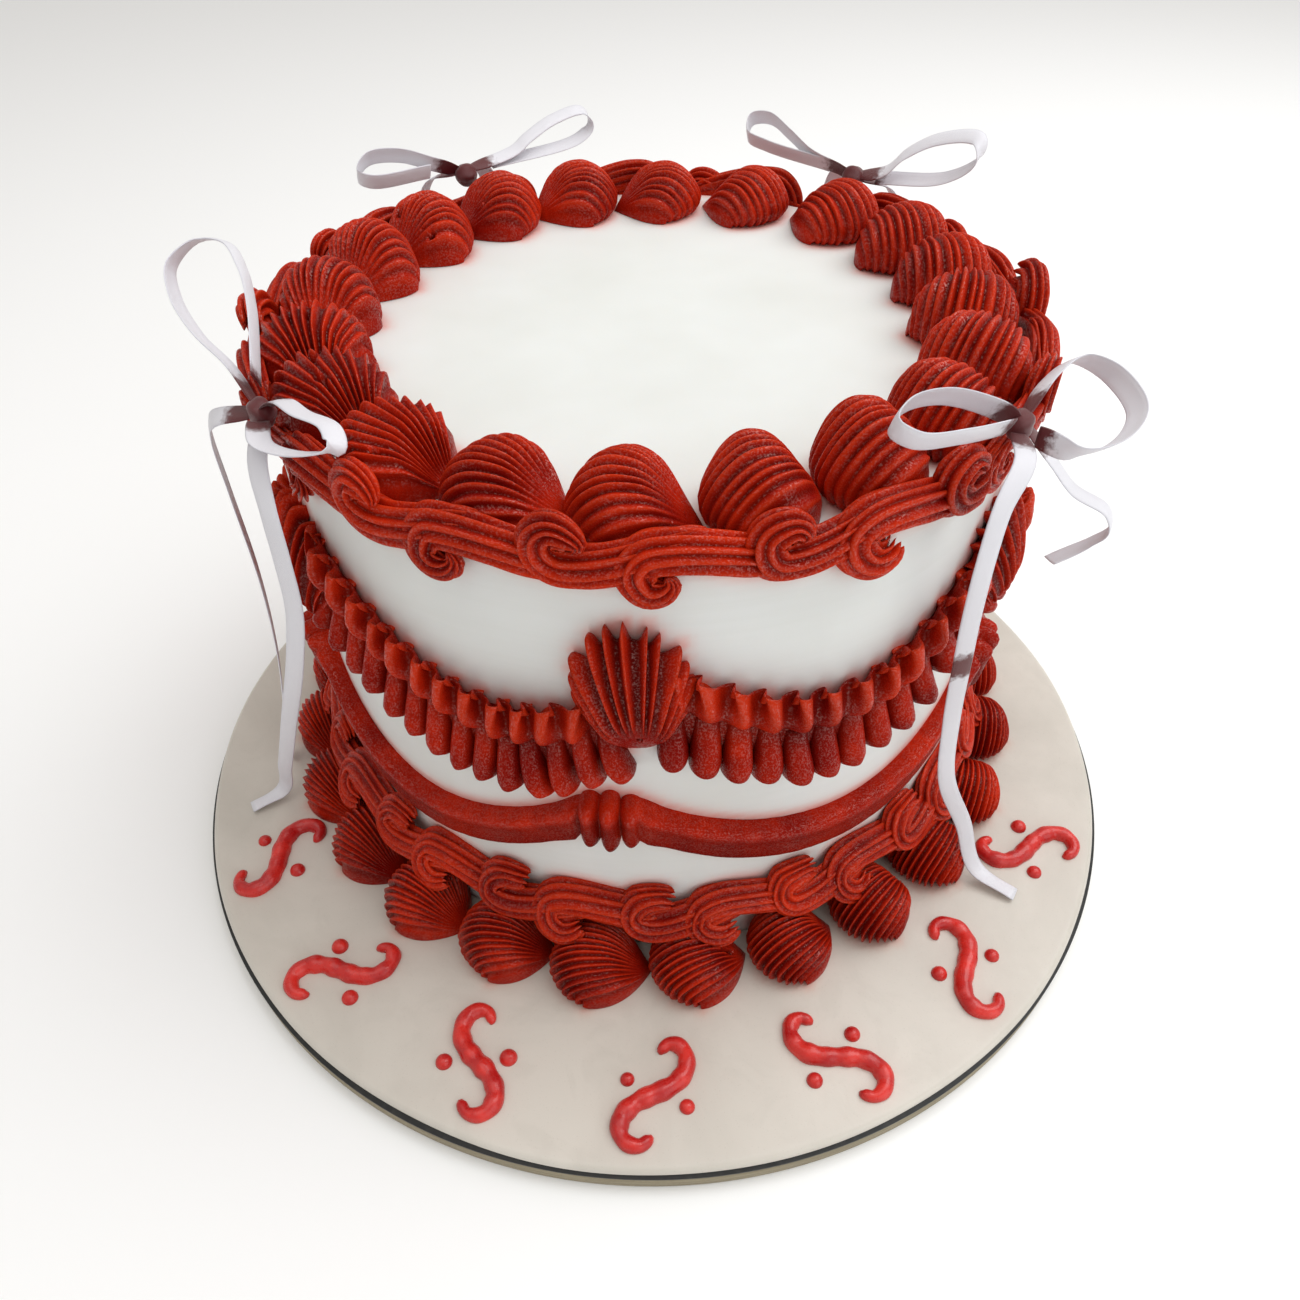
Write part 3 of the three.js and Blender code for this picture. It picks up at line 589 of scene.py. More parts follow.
def makeScrollBorder(name, spec, replaced, seed, pressed):
    shape = newShape()
    pitch = 360 / spec["count"]
    for i in range(spec["count"]):
        draw = np.random.RandomState(seed + i)
        flip = -1 if i % 2 else 1
        isHooked = i in spec["hooked"]
        head = hookedHead if isHooked else curledHead
        inHead = len(head)
        controls = np.array(head + scrollTail) * spec["scale"]
        controls[inHead:, 0] /= spec["scale"]  # the tail keeps its reach
        controls[:, :2] *= draw.uniform(0.95, 1.05)
        controls[:, 3] *= draw.uniform(0.94, 1.05)
        controls[:inHead, :2] += draw.uniform(-0.4, 0.4, (inHead, 2)) * [1, 0.6]
        controls[:, 1] = flip * (controls[:, 1] + draw.uniform(-0.4, 0.4) + spec["lift"])
        grid, ridge = ridgedStroke(controls, spec["steps"], spec, seed + 50 + i, spec["teeth"] * isHooked)
        turn0 = spec["turn"] + i * pitch + (spec["downShift"] if flip < 0 else 0)
        behind = easeIn(abs((turn0 + 180) % 360 - 180), 100, 135)
        height = spec["middle"] - spec["lowerBehind"] * behind * (flip > 0) + grid[..., 1]
        turn = turn0 + np.degrees(grid[..., 0] / wallRadius(spec["middle"]))
        out = np.maximum(grid[..., 2], -1.5) + spec["leanOut"] * np.maximum(spec["middle"] + 7 - height, 0)
        if pressed:  # down and in, under the knot of each bow
            for bow in bows:
                near = 1 - easeIn(np.abs((turn - bow["knot"][0] + 180) % 360 - 180), 2.5, 6.5)
                out = out * (1 - 0.45 * near)
                height = height - near * 5.0 * easeIn(height, 150, 160)
        points = onWall(turn, height, out)
        addGrid(shape, points, roundColumns=True, capFirst=True, capLast=True, ridge=ridge)
        redPoints.append(points[::2, ::7].reshape(-1, 3))
    makePiece(name, shape, redFinish, replaced, 0.02)
    print(name, "piped")


fanTurns = [-58, -3, 57, 118, 178, 238]
fan = {"length": 36.6, "head": 16.0, "wide": 0.78, "wrap": 124, "bulge": 0.02, "height": 9.4,
       "ridges": 14, "fine": 14, "rows": 42, "peak": 0.5, "tail": 0.6, "full": 0.7, "flank": 0.4,
       "rim": 0.34, "tuck": 0.05, "depth": 0.95, "edge": -0.7, "thin": 1.7, "uneven": 0.3,
       "fadeFrom": 0.26, "fadeTo": 0.54, "rimFade": 0.0, "teeth": 1.2, "tip": 94.6, "lean": -5.5,
       "aside": 0.6}


def makeFans():
    for i, turn0 in enumerate(fanTurns):
        spec = dict(fan)
        draw = np.random.RandomState(60 + i)
        spec["height"] *= draw.uniform(0.96, 1.06)
        if i == 1:
            spec["holes"] = [(9.6, 0.6, 0.9, 2.6)]
        grid, ridge = scallop(spec, 80 + i)
        x, y, z = leanShell(grid, spec["length"], spec["lean"] + (i != 1) * draw.uniform(-4, 4))
        height = spec["tip"] + spec["length"] / 2 + x
        points = onWall(turn0 + spec["aside"] + np.degrees(y / wallRadius(height)), height, 0.1 + z)
        markRim(points)
        gridPiece(f"fanShell{i + 1}", points, redFinish, "red_icing", [f"fan_shell_{i + 1}"], 0.02,
                  capLast=True, ridge=ridge)
    print("fans piped")


swag = {"low": 106.5, "curve": 0.036, "most": 50.0, "lowShift": [11, -1, 1, -2, 2, 0]}
ruffle = {"height": 12.0, "fold": [6.3, 7.5, 6.7, 6.5, 6.6, 6.4], "endGap": 4.4, "fine": 24, "sway": 1.5,
          "meander": 0.72}
# share of the height from the top, distance out in the folds and between them, and how far the lip leans
ruffleSection = [(0.3, 0.0, 0.0, 0.7), (0.34, 2.6, 0.3, 0.9), (0.2, 4.9, 0.6, 1.0), (0.02, 6.0, 1.1, 1.0),
                 (-0.06, 6.7, 1.6, 1.0), (-0.05, 7.3, 2.1, 0.95), (0.06, 7.7, 2.6, 0.8),
                 (0.22, 8.0, 3.4, 0.5), (0.42, 8.4, 4.4, 0.2), (0.64, 7.6, 4.8, 0.05),
                 (0.86, 5.4, 3.6, 0.0), (1.0, 2.0, 1.4, 0.0), (1.03, 0.0, 0.0, 0.0)]
fringe = {"length": 17.8, "finger": [6.4, 7.6, 6.8, 6.7, 6.7, 6.5], "gap": 1.9, "tipAside": 1.6, "depth": 8.0,
          "around": 17, "rows": 24, "width": 1.02, "raised": 4.0}
# how far down a finger, and its depth or width there as a share of the most
fingerDepth = ([0, 0.2, 0.45, 0.72, 0.88, 0.96, 1.0], [0.42, 0.52, 0.76, 1.0, 0.94, 0.62, 0.05])
fingerWidth = ([0, 0.25, 0.55, 0.78, 0.92, 1.0], [0.8, 0.86, 1.0, 1.05, 0.94, 0.3])


def nextFan(i):
    return fanTurns[i + 1] if i + 1 < len(fanTurns) else fanTurns[0] + 360


def swagHeight(i, turn):
    away = turn - (fanTurns[i] + nextFan(i)) / 2 - swag["lowShift"][i]
    lift = swag["curve"] * away * away
    return swag["low"] + lift / (1 + lift / swag["most"])


# a ribbon of icing piped in overlapping folds; its lip waves in and out and leans over
def makeRuffles():
    for i in range(len(fanTurns)):
        draw = np.random.RandomState(140 + i)
        start, end = fanTurns[i] + ruffle["endGap"], nextFan(i) - ruffle["endGap"]
        span = math.radians(end - start) * midRadius
        folds = round(span / ruffle["fold"][i])
        t = np.linspace(0, folds, folds * ruffle["fine"] + 1)
        size = np.interp(t, np.arange(folds + 1), draw.uniform(0.85, 1.15, folds + 1))
        phase = 2 * math.pi * (t + 0.12 * np.interp(t, np.arange(folds + 1), draw.uniform(-1, 1, folds + 1)))
        full = 0.5 + 0.5 * np.sin(phase)
        turn = start + (end - start) * t / folds
        top = swagHeight(i, turn)
        section = smoothCurve(ruffleSection, 34)
        down, inFold, between, lean = (section[:, k][:, None] for k in range(4))
        breaking = -1 if i % 2 else 1  # which way the folds lean
        rise = (1.7 * np.sin(phase - 0.5 * breaking) * size) * (1 - easeIn(down, 0.1, 0.9))
        height = top + rise - down * ruffle["height"]
        out = between + (inFold - between) * full * size
        out = out * (0.2 + 0.8 * easeIn(np.minimum(turn - start, end - turn), -0.3, 2.6))
        swing = breaking * ruffle["sway"] * np.sin(phase) - ruffle["meander"] * np.sin(2 * phase)
        points = onWall(turn + np.degrees(lean * swing * size / midRadius), height, out - 0.2)
        redPoints.append(points[[0, 1, -2, -1], ::4].reshape(-1, 3))
        # painted shade between the folds and towards the lower edge, through the ridge value
        gridPiece(f"ruffleSwag{i + 1}", points, redFinish, "red_icing", [f"ruffle_swag_{i + 1}"],
                  ridge=(0.2 + 0.75 * full) * (1 - 0.35 * easeIn(down, 0.4, 1)))
    print("ruffles piped")


# rounded fingers hanging under each ruffle, on a thin web of icing
def makeFringes():
    for i in range(len(fanTurns)):
        draw = np.random.RandomState(220 + i)
        start = fanTurns[i] + fringe["tipAside"] + fringe["gap"]
        end = nextFan(i) + fringe["tipAside"] - fringe["gap"]
        span = math.radians(end - start) * midRadius
        fingers = round(span / fringe["finger"][i])
        pitch = (end - start) / fingers
        shape = newShape()
        around = np.linspace(0, math.pi, fringe["around"])
        down = np.linspace(0, 1, fringe["rows"])[:, None]
        for k in range(fingers):
            turn0 = start + (k + 0.5) * pitch
            fromFan = min(turn0 - start, end - turn0)
            hung = swagHeight(i, turn0) - ruffle["height"] + 0.8
            long = fringe["length"] * draw.uniform(0.95, 1.07) * (0.74 + 0.26 * float(easeIn(fromFan, 1, 7)))
            bottom = hung - fringe["length"] * draw.uniform(0.96, 1.04)
            bottom += fringe["raised"] * (1 - float(easeIn(end - turn0, 2, 14)))
            belly = np.interp(down, *fingerDepth)
            wide = np.interp(down, *fingerWidth)
            half = 0.5 * pitch * fringe["width"] * draw.uniform(0.92, 1.04)
            lean = draw.uniform(-0.3, 0.7) + 1.5 * (end - turn0 < 16)
            turn = turn0 - lean * 0.4 + np.cos(around) * half * wide + lean * down * down * 1.2
            height = bottom + long * (1 - down) + draw.uniform(-0.5, 0.5) * np.cos(around) * down
            out = np.sin(around) ** 0.8 * fringe["depth"] * belly * draw.uniform(0.93, 1.06)
            # painted shade at the sides and tops of the fingers, through the ridge value
            addGrid(shape, onWall(turn, height, out - 0.3), capFirst=True, capLast=True,
                    ridge=0.1 + 0.5 * np.sin(around) * easeIn(down, -0.1, 0.5))
        turn = np.linspace(start, end, fingers * 4)
        high = swagHeight(i, turn) - ruffle["height"] + 1 + fringe["raised"] * (1 - easeIn(end - turn, 2, 14))
        rows = [onWall(turn, high - share * fringe["length"] * 0.8, out) for share, out in
                ((0, 0), (0.05, 1.7), (0.5, 1.5), (0.92, 1.1), (1, 0))]
        # the web behind the fingers gets painted shade
        addGrid(shape, np.stack(rows), ridge=0.2)
        redPoints.append(rows[-1])
        makePiece(f"fringeSwag{i + 1}", shape, redFinish, [f"fringe_swag_{i + 1}"])
    print("fringes piped")


knotTurns = [-6, 66, 122, 180, 236, 290]
band = {"height": 12.4, "depth": 5.4, "low": 52.0, "rise": 17.0, "steps": 71}
knot = {"halfTurn": 4.3, "height": 18.0, "depth": 8.8, "folds": 3, "grow": (0.96, 1.04, 0.9), "steps": 40}
# the band's section: up and out, as shares of its height and depth
bandSection = [(-0.5, -0.04, 0), (-0.5, 0.4, 0), (-0.44, 0.66, 0), (-0.2, 0.78, 0), (0.1, 0.86, 0),
               (0.32, 0.98, 0), (0.43, 0.9, 0), (0.49, 0.6, 0), (0.5, 0.3, 0), (0.5, -0.04, 0)]


# the smooth band that swags under the fringe, gathered into folded knots
def makeBand():
    turns, middles, heights, depths = [], [], [], []
    for i, turn0 in enumerate(knotTurns):
        draw = np.random.RandomState(40 + i)
        after = knotTurns[i + 1] if i + 1 < len(knotTurns) else knotTurns[0] + 360
        for share in np.linspace(-1, 1, knot["steps"])[:-1]:
            fold = abs(math.sin(math.pi * knot["folds"] * (share + 1) / 2))
            grow = knot["grow"][min(int((share + 1) / 2 * knot["folds"]), knot["folds"] - 1)]
            turns.append(turn0 + knot["halfTurn"] * share)
            middles.append(band["low"] + band["rise"])
            heights.append(knot["height"] * grow * (0.76 + 0.24 * fold ** 0.6))
            depths.append(knot["depth"] * grow * (0.5 + 0.5 * fold ** 0.7))
        start, end = turn0 + knot["halfTurn"], after - knot["halfTurn"]
        for k in range(1, band["steps"]):
            share = k / band["steps"]
            turn = start + (end - start) * share
            swing = 2 * share - 1
            near = 1 - easeIn(min(turn - start, end - turn), 0.0, 4.5)
            turns.append(turn)
            middles.append(band["low"] + band["rise"] * swing * swing)
            heights.append(band["height"] + 1.6 * float(near) + draw.uniform(-0.12, 0.12))
            depths.append(band["depth"] + 1.2 * float(near) + draw.uniform(-0.08, 0.08))
    turns, middles, heights, depths = (np.array(v) for v in (turns, middles, heights, depths))
    section = smoothCurve(bandSection, 26)
    up, out = section[:, 0][:, None], section[:, 1][:, None]
    points = onWall(turns, middles + heights * up, depths * out)
    redPoints.append(points[[0, -1]].reshape(-1, 3))
    # painted light from above: the band is lighter at its top and darker towards its underside, through the
    # ridge value
    gridPiece("bandWithKnots", points, redFinish, "red_icing", ["band_with_knots"], roundColumns=True,
              ridge=0.26 + 0.3 * easeIn(up, 0.1, 0.5) - 0.1 * easeIn(-up, 0.3, 0.5))
    print("band piped")


# the board: raw fibreboard, black facing, and a rolled covering trimmed a little unevenly by hand
board = {"radius": 152.4, "core": (0.0, 5.0), "facing": (5.2, 6.0), "covering": (6.2, 9.0),
         "coveringRadius": 151.5, "edge": 2.0, "uneven": 0.3, "segments": 360}


def turnedGrid(profile, segments, wobble=None):
    turn = np.linspace(0, 360, segments, endpoint=False)
    angle = np.radians(turn)
    rows = []
    for radius, height in profile:
        r = radius + (wobble(angle) * min(1, radius / 140) if wobble is not None and radius > 120 else 0)
        rows.append(np.stack(np.broadcast_arrays(r * np.sin(angle), -r * np.cos(angle), height), -1))
    return np.stack(rows)


def makeBoard():
    r = board["radius"]
    low, high = board["core"]
    profile = [(0.01, low), (60, low), (r - 0.5, low), (r, low + 0.5), (r, (low + high) / 2), (r, high - 0.4),
               (r - 0.3, high + 0.15), (60, high + 0.15), (0.01, high + 0.15)]
    grid = turnedGrid(profile, board["segments"])
    gridPiece("boardCore", grid, edgeFinish, "fibreboard", ["board_core"], 0.02, roundColumns=True)
    low, high = board["facing"]
    profile = [(0.01, low), (r - 0.2, low), (r, low + 0.2), (r, high - 0.2), (r - 0.2, high),
               (140, high), (0.01, high)]
    grid = turnedGrid(profile, board["segments"])
    gridPiece("boardFacing", grid, blackFinish, "black_laminate", ["board_laminate"], 0.02, roundColumns=True)
    print("board made")


def makeCovering():
    low, high = board["covering"]
    r, e = board["coveringRadius"], board["edge"]

    def wobble(angle):
        waves = np.sin(3 * angle + 1) + 0.7 * np.sin(7 * angle + 2) + 0.5 * np.sin(13 * angle + 4)
        return board["uneven"] * waves / 1.3

    profile = [(0.01, low), (r - 1.2, low), (r - 0.3, low + 0.3)]
    profile += [(r - e + e * math.cos(a), high - e + e * math.sin(a))
                for a in np.linspace(0.15, math.pi / 2, 7)]
    profile += [(radius, high) for radius in np.linspace(r - e - 1.5, 84, 44)] + [(0.01, high)]
    grid = turnedGrid(profile, 400, wobble)
    gridPiece("boardCovering", grid, pasteFinish, "sugar_paste", ["board_covering"], 0.02, roundColumns=True,
              bleed=bleedAt(grid, 1.5, 0.5))
    print("covering laid")


# how strongly the red shows in the white near each point
def bleedAt(grid, spread, most):
    red = np.concatenate(redPoints)
    tree = KDTree(len(red))
    for k, point in enumerate(red):
        tree.insert(point, k)
    tree.balance()
    points = grid.reshape(-1, 3)
    away = np.array([tree.find(point)[2] for point in points])
    return (most * np.exp(-(np.maximum(away - 0.4, 0) / spread) ** 1.4)).reshape(grid.shape[:2])


def makeCake():
    c = cake["rim"]
    profile = [(0.01, cake["base"]), (cake["footRadius"] - 0.5, cake["base"])]
    profile += [(float(wallRadius(z)), z) for z in np.linspace(cake["base"], cake["top"] - c, 74)]
    profile += [(cake["topRadius"] - c + c * math.cos(a), cake["top"] - c + c * math.sin(a))
                for a in np.linspace(0.2, math.pi / 2, 6)]
    profile += [(radius, cake["top"]) for radius in np.linspace(cake["topRadius"] - c - 2, 2, 46)]
    profile += [(0.01, cake["top"])]
    turn = np.linspace(0, 360, 360, endpoint=False)
    rows = []
    for radius, height in profile:
        wave = 0.22 * np.sin(np.radians(turn) * 5 + height * 0.05) + 0.14 * np.sin(np.radians(turn) * 11 + 2)
        rows.append(roundCake(turn, radius + wave * min(1.0, radius / 90), height + 0 * turn))
    grid = np.stack(rows)
    gridPiece("icedCake", grid, whiteFinish, "white_icing", ["cake_body"], 0.02, roundColumns=True,
              bleed=bleedAt(grid, 1.7, 0.62))
    print("cake iced")


# generic scrolls and dots piped round the front of the board
boardScroll = {"turns": [-66, -44, -22, 0, 22, 44, 66], "radius": 131.5, "halfLength": 25.0, "bend": 4.0,
               "lean": 22.0, "width": 5.6, "dot": 4.6, "dotAside": 6.0, "dotOut": 6.5}


def scrollPoint(share):
    step = share * boardScroll["halfLength"] / 24
    angle = boardScroll["bend"] * (share * (np.arange(24) + 0.5) / 24) ** 2
    return np.cos(angle).sum() * step, np.sin(angle).sum() * step


def makeBoardScrolls():
    top = board["covering"][1]
    shape = newShape()
    for i, turn in enumerate(boardScroll["turns"]):
        draw = np.random.RandomState(20 + i)
        flip = -1 if i % 2 else 1
        lean = math.radians(boardScroll["lean"])

        def at(x, y):
            along = flip * (x * math.cos(lean) - y * math.sin(lean))
            outward = x * math.sin(lean) + y * math.cos(lean)
            angle = math.radians(turn) + along / boardScroll["radius"]
            radius = boardScroll["radius"] + outward
            return radius * math.sin(angle), -radius * math.cos(angle)

        half = boardScroll["width"] / 2
        controls = []
        for s in np.linspace(-1, 1, 17):
            beadRadius = half * (0.4 + 0.6 * (1 - s * s) ** 0.6) * draw.uniform(0.92, 1.06)
            controls.append((*at(*scrollPoint(s)), top + 0.4, beadRadius))
        first, last = ((*at(*scrollPoint(s)), top + 0.2, 0.3) for s in (-1.03, 1.03))
        addGrid(shape, smoothBead([first, *controls, last], 90), capFirst=True, capLast=True)
        for side in (1, -1):
            dotX, dotY = at(side * boardScroll["dotAside"], -side * boardScroll["dotOut"])
            dotHalf = boardScroll["dot"] / 2 * draw.uniform(0.85, 1.1)
            ring = np.linspace(0, 2 * math.pi, 24, endpoint=False)
            rows = []
            for a in np.linspace(0, math.pi / 2 - 0.02, 9):
                wide, high = dotHalf * math.cos(a), top - 0.1 + dotHalf * 0.95 * math.sin(a)
                x, y = dotX + wide * np.cos(ring), dotY + wide * np.sin(ring)
                rows.append(np.stack([x, y, high + 0 * ring], -1))
            addGrid(shape, np.stack(rows), roundColumns=True, capFirst=True, capLast=True)
    makePiece("boardScrolls", shape, gelFinish, ["board_covering"], 0.01)
    print("board scrolls piped")


# a smooth round bead along a path on the board
def smoothBead(controls, steps):
    path = smoothCurve(controls, steps)
    centre, radius = path[:, :3], path[:, 3]
    along = np.gradient(centre, axis=0)
    side = np.stack([-along[:, 1], along[:, 0], 0 * along[:, 0]], -1)
    side /= np.linalg.norm(side, axis=1, keepdims=True)
    ripple = 1 + 0.05 * np.sin(np.linspace(0, 60, steps))
    angle = np.linspace(-0.3, math.pi + 0.3, 15)
    ring = side[:, None, :] * (np.cos(angle) * (radius * ripple)[:, None])[..., None]
    ring[..., 2] += np.sin(angle) * (radius * ripple)[:, None] * 1.1
    return centre[:, None, :] + ring


# ribbons: their points are turn, distance from the cake's axis and height
ribbon = {"width": 5.0, "thickness": 0.34, "steps": 90}
bows = [
    {
        "name": "bowFrontRight", "node": "ribbon_bow_front_right", "knot": (50.5, 101.8, 156.6),
        "loops": [
            [(50.5, 102, 157), (45, 98, 163.5), (38, 94, 168.5), (32, 93.5, 169.5), (29, 96, 168),
             (31, 99, 165.5), (38, 101, 163), (47, 102, 159)],
            [(50.5, 102, 157), (58, 102, 161), (64, 106, 161.5), (64, 113, 160), (59, 121, 158.5),
             (53, 121, 157.5), (48.5, 116, 157.5), (49, 107, 157)],
        ],
        "tails": [
            [(49.5, 102.5, 156), (44, 109.5, 156.5), (39.5, 112, 151), (38, 113.5, 140),
             (38.3, 114, 123.5), (39.3, 114, 111), (42.3, 113.5, 84), (44, 116, 60), (49, 122, 34),
             (50.5, 130, 14), (51.2, 143, 10.2)],
            [(51.5, 102.5, 156), (53.5, 109.5, 148), (55.1, 115.5, 141), (56.9, 123.5, 136),
             (56.8, 125.4, 132), (56.3, 122.5, 128), (53, 116.5, 124.5)],
        ],
        "dyed": [(107.5, 4.5)],
    },
    {
        "name": "bowFrontLeft", "node": "ribbon_bow_front_left", "knot": (-56, 101.8, 156.6),
        "loops": [
            [(-56, 102, 157), (-52, 99, 161.5), (-46, 99, 163), (-41, 98, 163), (-38.5, 101, 161.5),
             (-41, 105.5, 160.5), (-47, 108, 159), (-54, 104, 157)],
            [(-56, 102, 157), (-62.1, 103.5, 163), (-65.6, 107.4, 168), (-72.2, 110.2, 172),
             (-76.7, 109.9, 175), (-80.5, 104.3, 177), (-78.9, 98, 177), (-74, 95, 174),
             (-69, 95, 169.5), (-59, 100, 161)],
        ],
        "tails": [
            [(-55, 102.5, 156), (-48.5, 109.5, 154), (-45, 113, 148), (-45, 113.9, 135),
             (-47, 114, 118), (-50.7, 116.1, 98), (-59.8, 121.2, 62), (-66.5, 128.3, 30),
             (-69, 133.3, 13), (-68.5, 144, 10.2)],
            [(-57, 102.5, 156), (-61, 110, 153.5), (-66, 112.5, 145), (-68, 113.5, 128),
             (-68, 114.5, 100), (-70, 118, 70), (-74, 126, 30), (-77, 129.5, 10.4)],
        ],
        "dyed": [],
    },
    {
        "name": "bowBackRight", "node": "ribbon_bow_back_right", "knot": (141, 101.8, 156.6),
        "loops": [
            [(141, 102, 157), (149.4, 102, 160), (154.2, 104, 164), (158.6, 107, 167),
             (161.7, 107, 166), (161.8, 104, 162.5), (158.3, 103, 160.5), (146, 102.5, 158)],
            [(141, 102, 157), (135.4, 103, 160), (132.8, 106, 165.2), (128.7, 110, 170),
             (123, 114, 171.8), (122.1, 113, 167.3), (126.1, 110, 161), (137, 103.5, 157.5)],
        ],
        "tails": [
            [(142, 102.5, 156), (146, 109.5, 154), (148, 112.5, 142), (147, 113.5, 112), (150, 116, 70),
             (148, 123, 30), (147, 128.5, 10.4)],
            [(140, 102.5, 156), (136, 109.5, 153), (134, 113.5, 138), (135, 114, 108), (132, 115.5, 66),
             (134, 123, 30), (136, 129, 10.4)],
        ],
        "dyed": [],
    },
    {
        "name": "bowBackLeft", "node": "ribbon_bow_back_left", "knot": (-146, 101.8, 156.6),
        "loops": [
            [(-146, 102.5, 157.5), (-155.7, 102.5, 160.5), (-158.6, 104, 163), (-164, 107, 166.5),
             (-169.1, 109, 167.5), (-170, 107, 164), (-167.6, 104.5, 161), (-151, 102.5, 158)],
            [(-146, 102, 157), (-141, 105, 160.5), (-136.1, 109, 164), (-131.2, 112, 164.5),
             (-128.6, 111, 161.5), (-129.7, 108, 160), (-140, 104.5, 159)],
        ],
        "tails": [
            [(-147, 103, 157), (-151, 109.5, 154.5), (-153, 112.5, 140), (-152, 113.5, 110),
             (-154, 116, 68), (-152, 123, 30), (-150, 128.5, 10.4)],
            [(-145, 103, 157), (-141, 109.5, 154.5), (-139, 113.5, 136), (-140, 114, 106),
             (-138, 115.5, 64), (-139, 123, 30), (-141, 129, 10.4)],
        ],
        "dyed": [],
    },
]


def ribbonStrip(shape, points, tilt, knotPoint, dyedSpots):
    places = np.array([roundCake(*p) for p in points])
    path = smoothCurve(places, ribbon["steps"])
    coarse = path[::4]
    facing = np.cross(np.diff(coarse, axis=0)[:-1], np.diff(coarse, axis=0)[1:]).sum(0)
    facing /= np.linalg.norm(facing)
    hint = np.array(tilt) + facing * 0.6
    along = np.gradient(path, axis=0)
    along /= np.linalg.norm(along, axis=1, keepdims=True)
    wide = hint - along * (along @ hint)[:, None]
    wide /= np.linalg.norm(wide, axis=1, keepdims=True)
    thin = np.cross(along, wide)
    run = np.r_[0, np.cumsum(np.linalg.norm(np.diff(path, axis=0), axis=1))]
    # half the way round the strip's section, then back along its other side
    across = np.array([-1, -0.9, -0.45, 0, 0.45, 0.9, 1, 0.9, 0.45, 0, -0.45, -0.9])
    side = np.array([0, 1, 0.8, 0.8, 0.8, 1, 0, -1, -0.8, -0.8, -0.8, -1])
    cup = 0.25 * (1 - across ** 2)
    w, t = ribbon["width"] / 2, ribbon["thickness"] / 2
    pinch = 1 - 0.55 * np.exp(-(np.linalg.norm(path - knotPoint, axis=1) / 4.0) ** 2)
    grid = (path[:, None, :] + wide[:, None, :] * (across * w)[None, :, None] * pinch[:, None, None]
            + thin[:, None, :] * (side * t + cup)[None, :, None])
    away = np.linalg.norm(path - knotPoint, axis=1)
    dye = 1 - easeIn(away, 4.0, 14.0)
    for level, spread in dyedSpots:
        dye = np.maximum(dye, np.exp(-((path[:, 2] - level) / spread) ** 2) * 0.95)
    addGrid(shape, grid, roundColumns=True, capFirst=True, capLast=True, alongRibbon=run[:, None],
            acrossRibbon=(across * w)[None, :], dyed=dye[:, None])


def bowKnot(shape, turn, knotPoint):
    polar = np.linspace(0.02, math.pi - 0.02, 16)[:, None]
    around = np.linspace(0, 2 * math.pi, 28, endpoint=False)
    size = 1 + 0.08 * np.cos(around * 5) * np.sin(polar)
    x = 3.6 * np.cos(polar) + 0 * around
    y = 3.0 * np.sin(polar) * np.cos(around) * size
    z = 3.2 * np.sin(polar) * np.sin(around) * size
    a = math.radians(turn)
    grid = np.stack([knotPoint[0] + x * math.cos(a) - y * math.sin(a),
                     knotPoint[1] + x * math.sin(a) + y * math.cos(a), knotPoint[2] + z], -1)
    addGrid(shape, grid, roundColumns=True, capFirst=True, capLast=True, alongRibbon=around * 3 + 0 * polar,
            acrossRibbon=x * 0.5, dyed=1.0)


def makeBows():
    for bow in bows:
        shape = newShape()
        knotPoint = roundCake(*bow["knot"])
        across = roundCake(bow["knot"][0] + 90, 1, 0) - roundCake(0, 0, 0)
        for loop in bow["loops"]:
            ribbonStrip(shape, loop, (0, 0, 0.5), knotPoint, [])
        for k, tail in enumerate(bow["tails"]):
            ribbonStrip(shape, tail, (across[0], across[1], 0), knotPoint, bow["dyed"] if k == 0 else [])
        bowKnot(shape, bow["knot"][0], knotPoint)
        makePiece(bow["name"], shape, satinFinish, [bow["node"]])
    print("bows tied")


makeBoard()
makeTopShells()
makeScrollBorder("upperScrollBorder", upperScroll, ["upper_scroll_border"], 1000, True)
makeFans()
makeRuffles()
makeFringes()
makeBand()
makeScrollBorder("lowerScrollBorder", lowerScroll, ["lower_scroll_border"], 2000, False)
makeBottomShells()
makeBoardScrolls()
makeBows()
makeCake()
makeCovering()


# a pale table, soft light from above and the right, and a camera that looks down at the cake
stageLook = {"table": (0.96, 0.96, 0.96), "tableHalf": 6.0, "tableTop": -0.0002, "sky": (1.0, 0.975, 0.94),
             "skyLight": 0.56}


def makeStage():
    mesh = bpy.data.meshes.new("table")
    half, top = stageLook["tableHalf"], stageLook["tableTop"]
    corners = [(-half, -half, top), (half, -half, top), (half, half, top), (-half, half, top)]
    mesh.from_pydata(corners, [], [(0, 1, 2, 3)])
    finish, tree, surface = newFinish("table")
    surface.inputs["Base Color"].default_value = (*stageLook["table"], 1)
    surface.inputs["Roughness"].default_value = 0.9
    mesh.materials.append(finish)
    table = bpy.data.objects.new("table", mesh)
    bpy.context.collection.objects.link(table)
    world = bpy.data.worlds.new("softRoom")
    bpy.context.scene.world = world
    world.use_nodes = True
    background = world.node_tree.nodes["Background"]
    background.inputs["Color"].default_value = (*stageLook["sky"], 1)
    background.inputs["Strength"].default_value = stageLook["skyLight"]


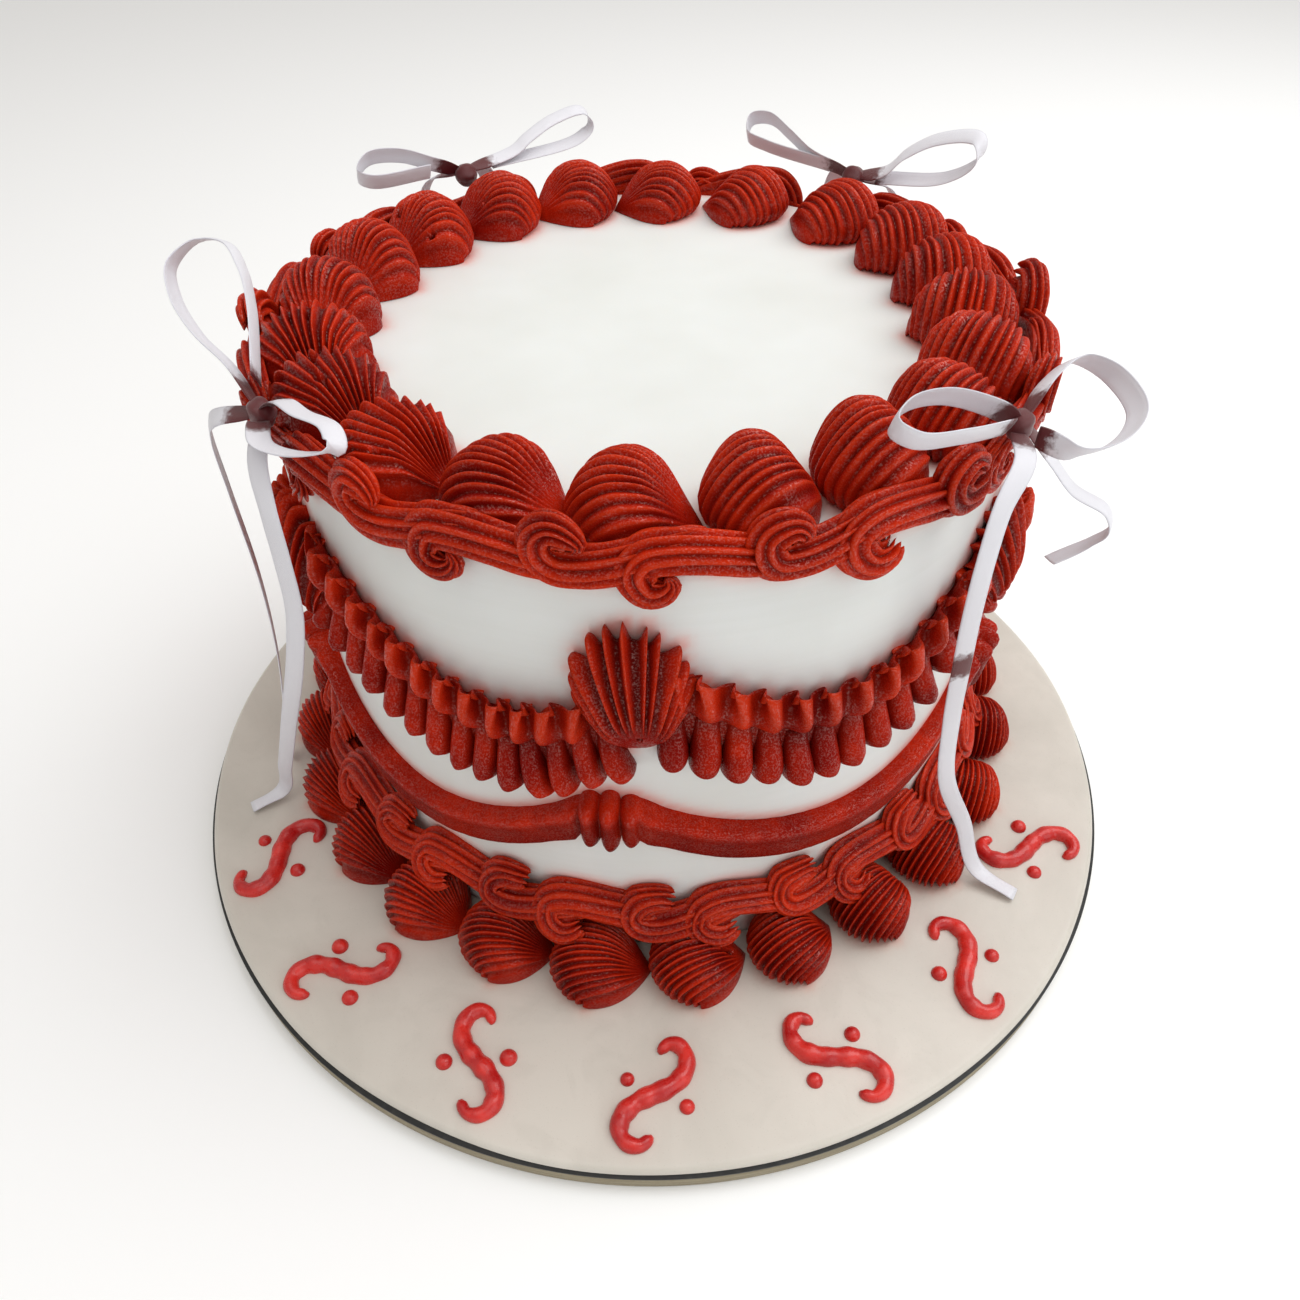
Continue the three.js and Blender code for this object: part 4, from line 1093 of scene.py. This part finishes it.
lights = [
    {"name": "windowLight", "size": 0.9, "power": 7.4,
     "from": (0.6, 0.2, 1.0), "tone": (0.97, 0.99, 1.0)},
    {"name": "ceilingLight", "size": 1.4, "power": 5.4,
     "from": (-0.15, -0.1, 1.5), "tone": (1.0, 0.99, 0.97)},
    {"name": "frontFill", "size": 1.2, "power": 4.3,
     "from": (0.95, -1.0, 0.6), "tone": (0.9, 0.97, 1.0)},
]


def makeLights():
    for spec in lights:
        data = bpy.data.lights.new(spec["name"], "AREA")
        data.shape = "SQUARE"
        data.size = spec["size"]
        data.energy = spec["power"]
        data.color = spec["tone"]
        lamp = bpy.data.objects.new(spec["name"], data)
        bpy.context.collection.objects.link(lamp)
        lamp.location = spec["from"]
        lamp.rotation_mode = "QUATERNION"
        lamp.rotation_quaternion = (Vector((0, 0, 0.06)) - Vector(spec["from"])).to_track_quat("-Z", "Y")


# fitted to the photograph: focal length and centre in its pixels, then the view in degrees and millimetres
view = {"picture": 1300.0, "focal": 965.0, "centre": (652.6, 734.5), "elevation": 48.51, "distance": 348.4,
        "roll": -0.56, "aimHeight": 6.0}


def makeCamera():
    data = bpy.data.cameras.new("camera")
    camera = bpy.data.objects.new("camera", data)
    bpy.context.collection.objects.link(camera)
    data.sensor_width = 36.0
    data.lens = view["focal"] / view["picture"] * data.sensor_width
    data.shift_x = -(view["centre"][0] - view["picture"] / 2) / view["picture"]
    data.shift_y = (view["centre"][1] - view["picture"] / 2) / view["picture"]
    data.clip_start, data.clip_end = 0.01, 50
    rise = math.radians(view["elevation"])
    back = Vector((0, -math.cos(rise), math.sin(rise)))
    place = Vector((0, 0, view["aimHeight"])) + back * view["distance"]
    facing = (-back).to_track_quat("-Z", "Y").to_matrix().to_4x4()
    roll = Matrix.Rotation(math.radians(view["roll"]), 4, "Z")
    camera.matrix_world = Matrix.Translation(place * 0.001) @ facing @ roll
    bpy.context.scene.camera = camera
    bpy.context.scene.view_settings.view_transform = "Standard"


makeStage()
makeLights()
makeCamera()
print("stage, lights and camera set")
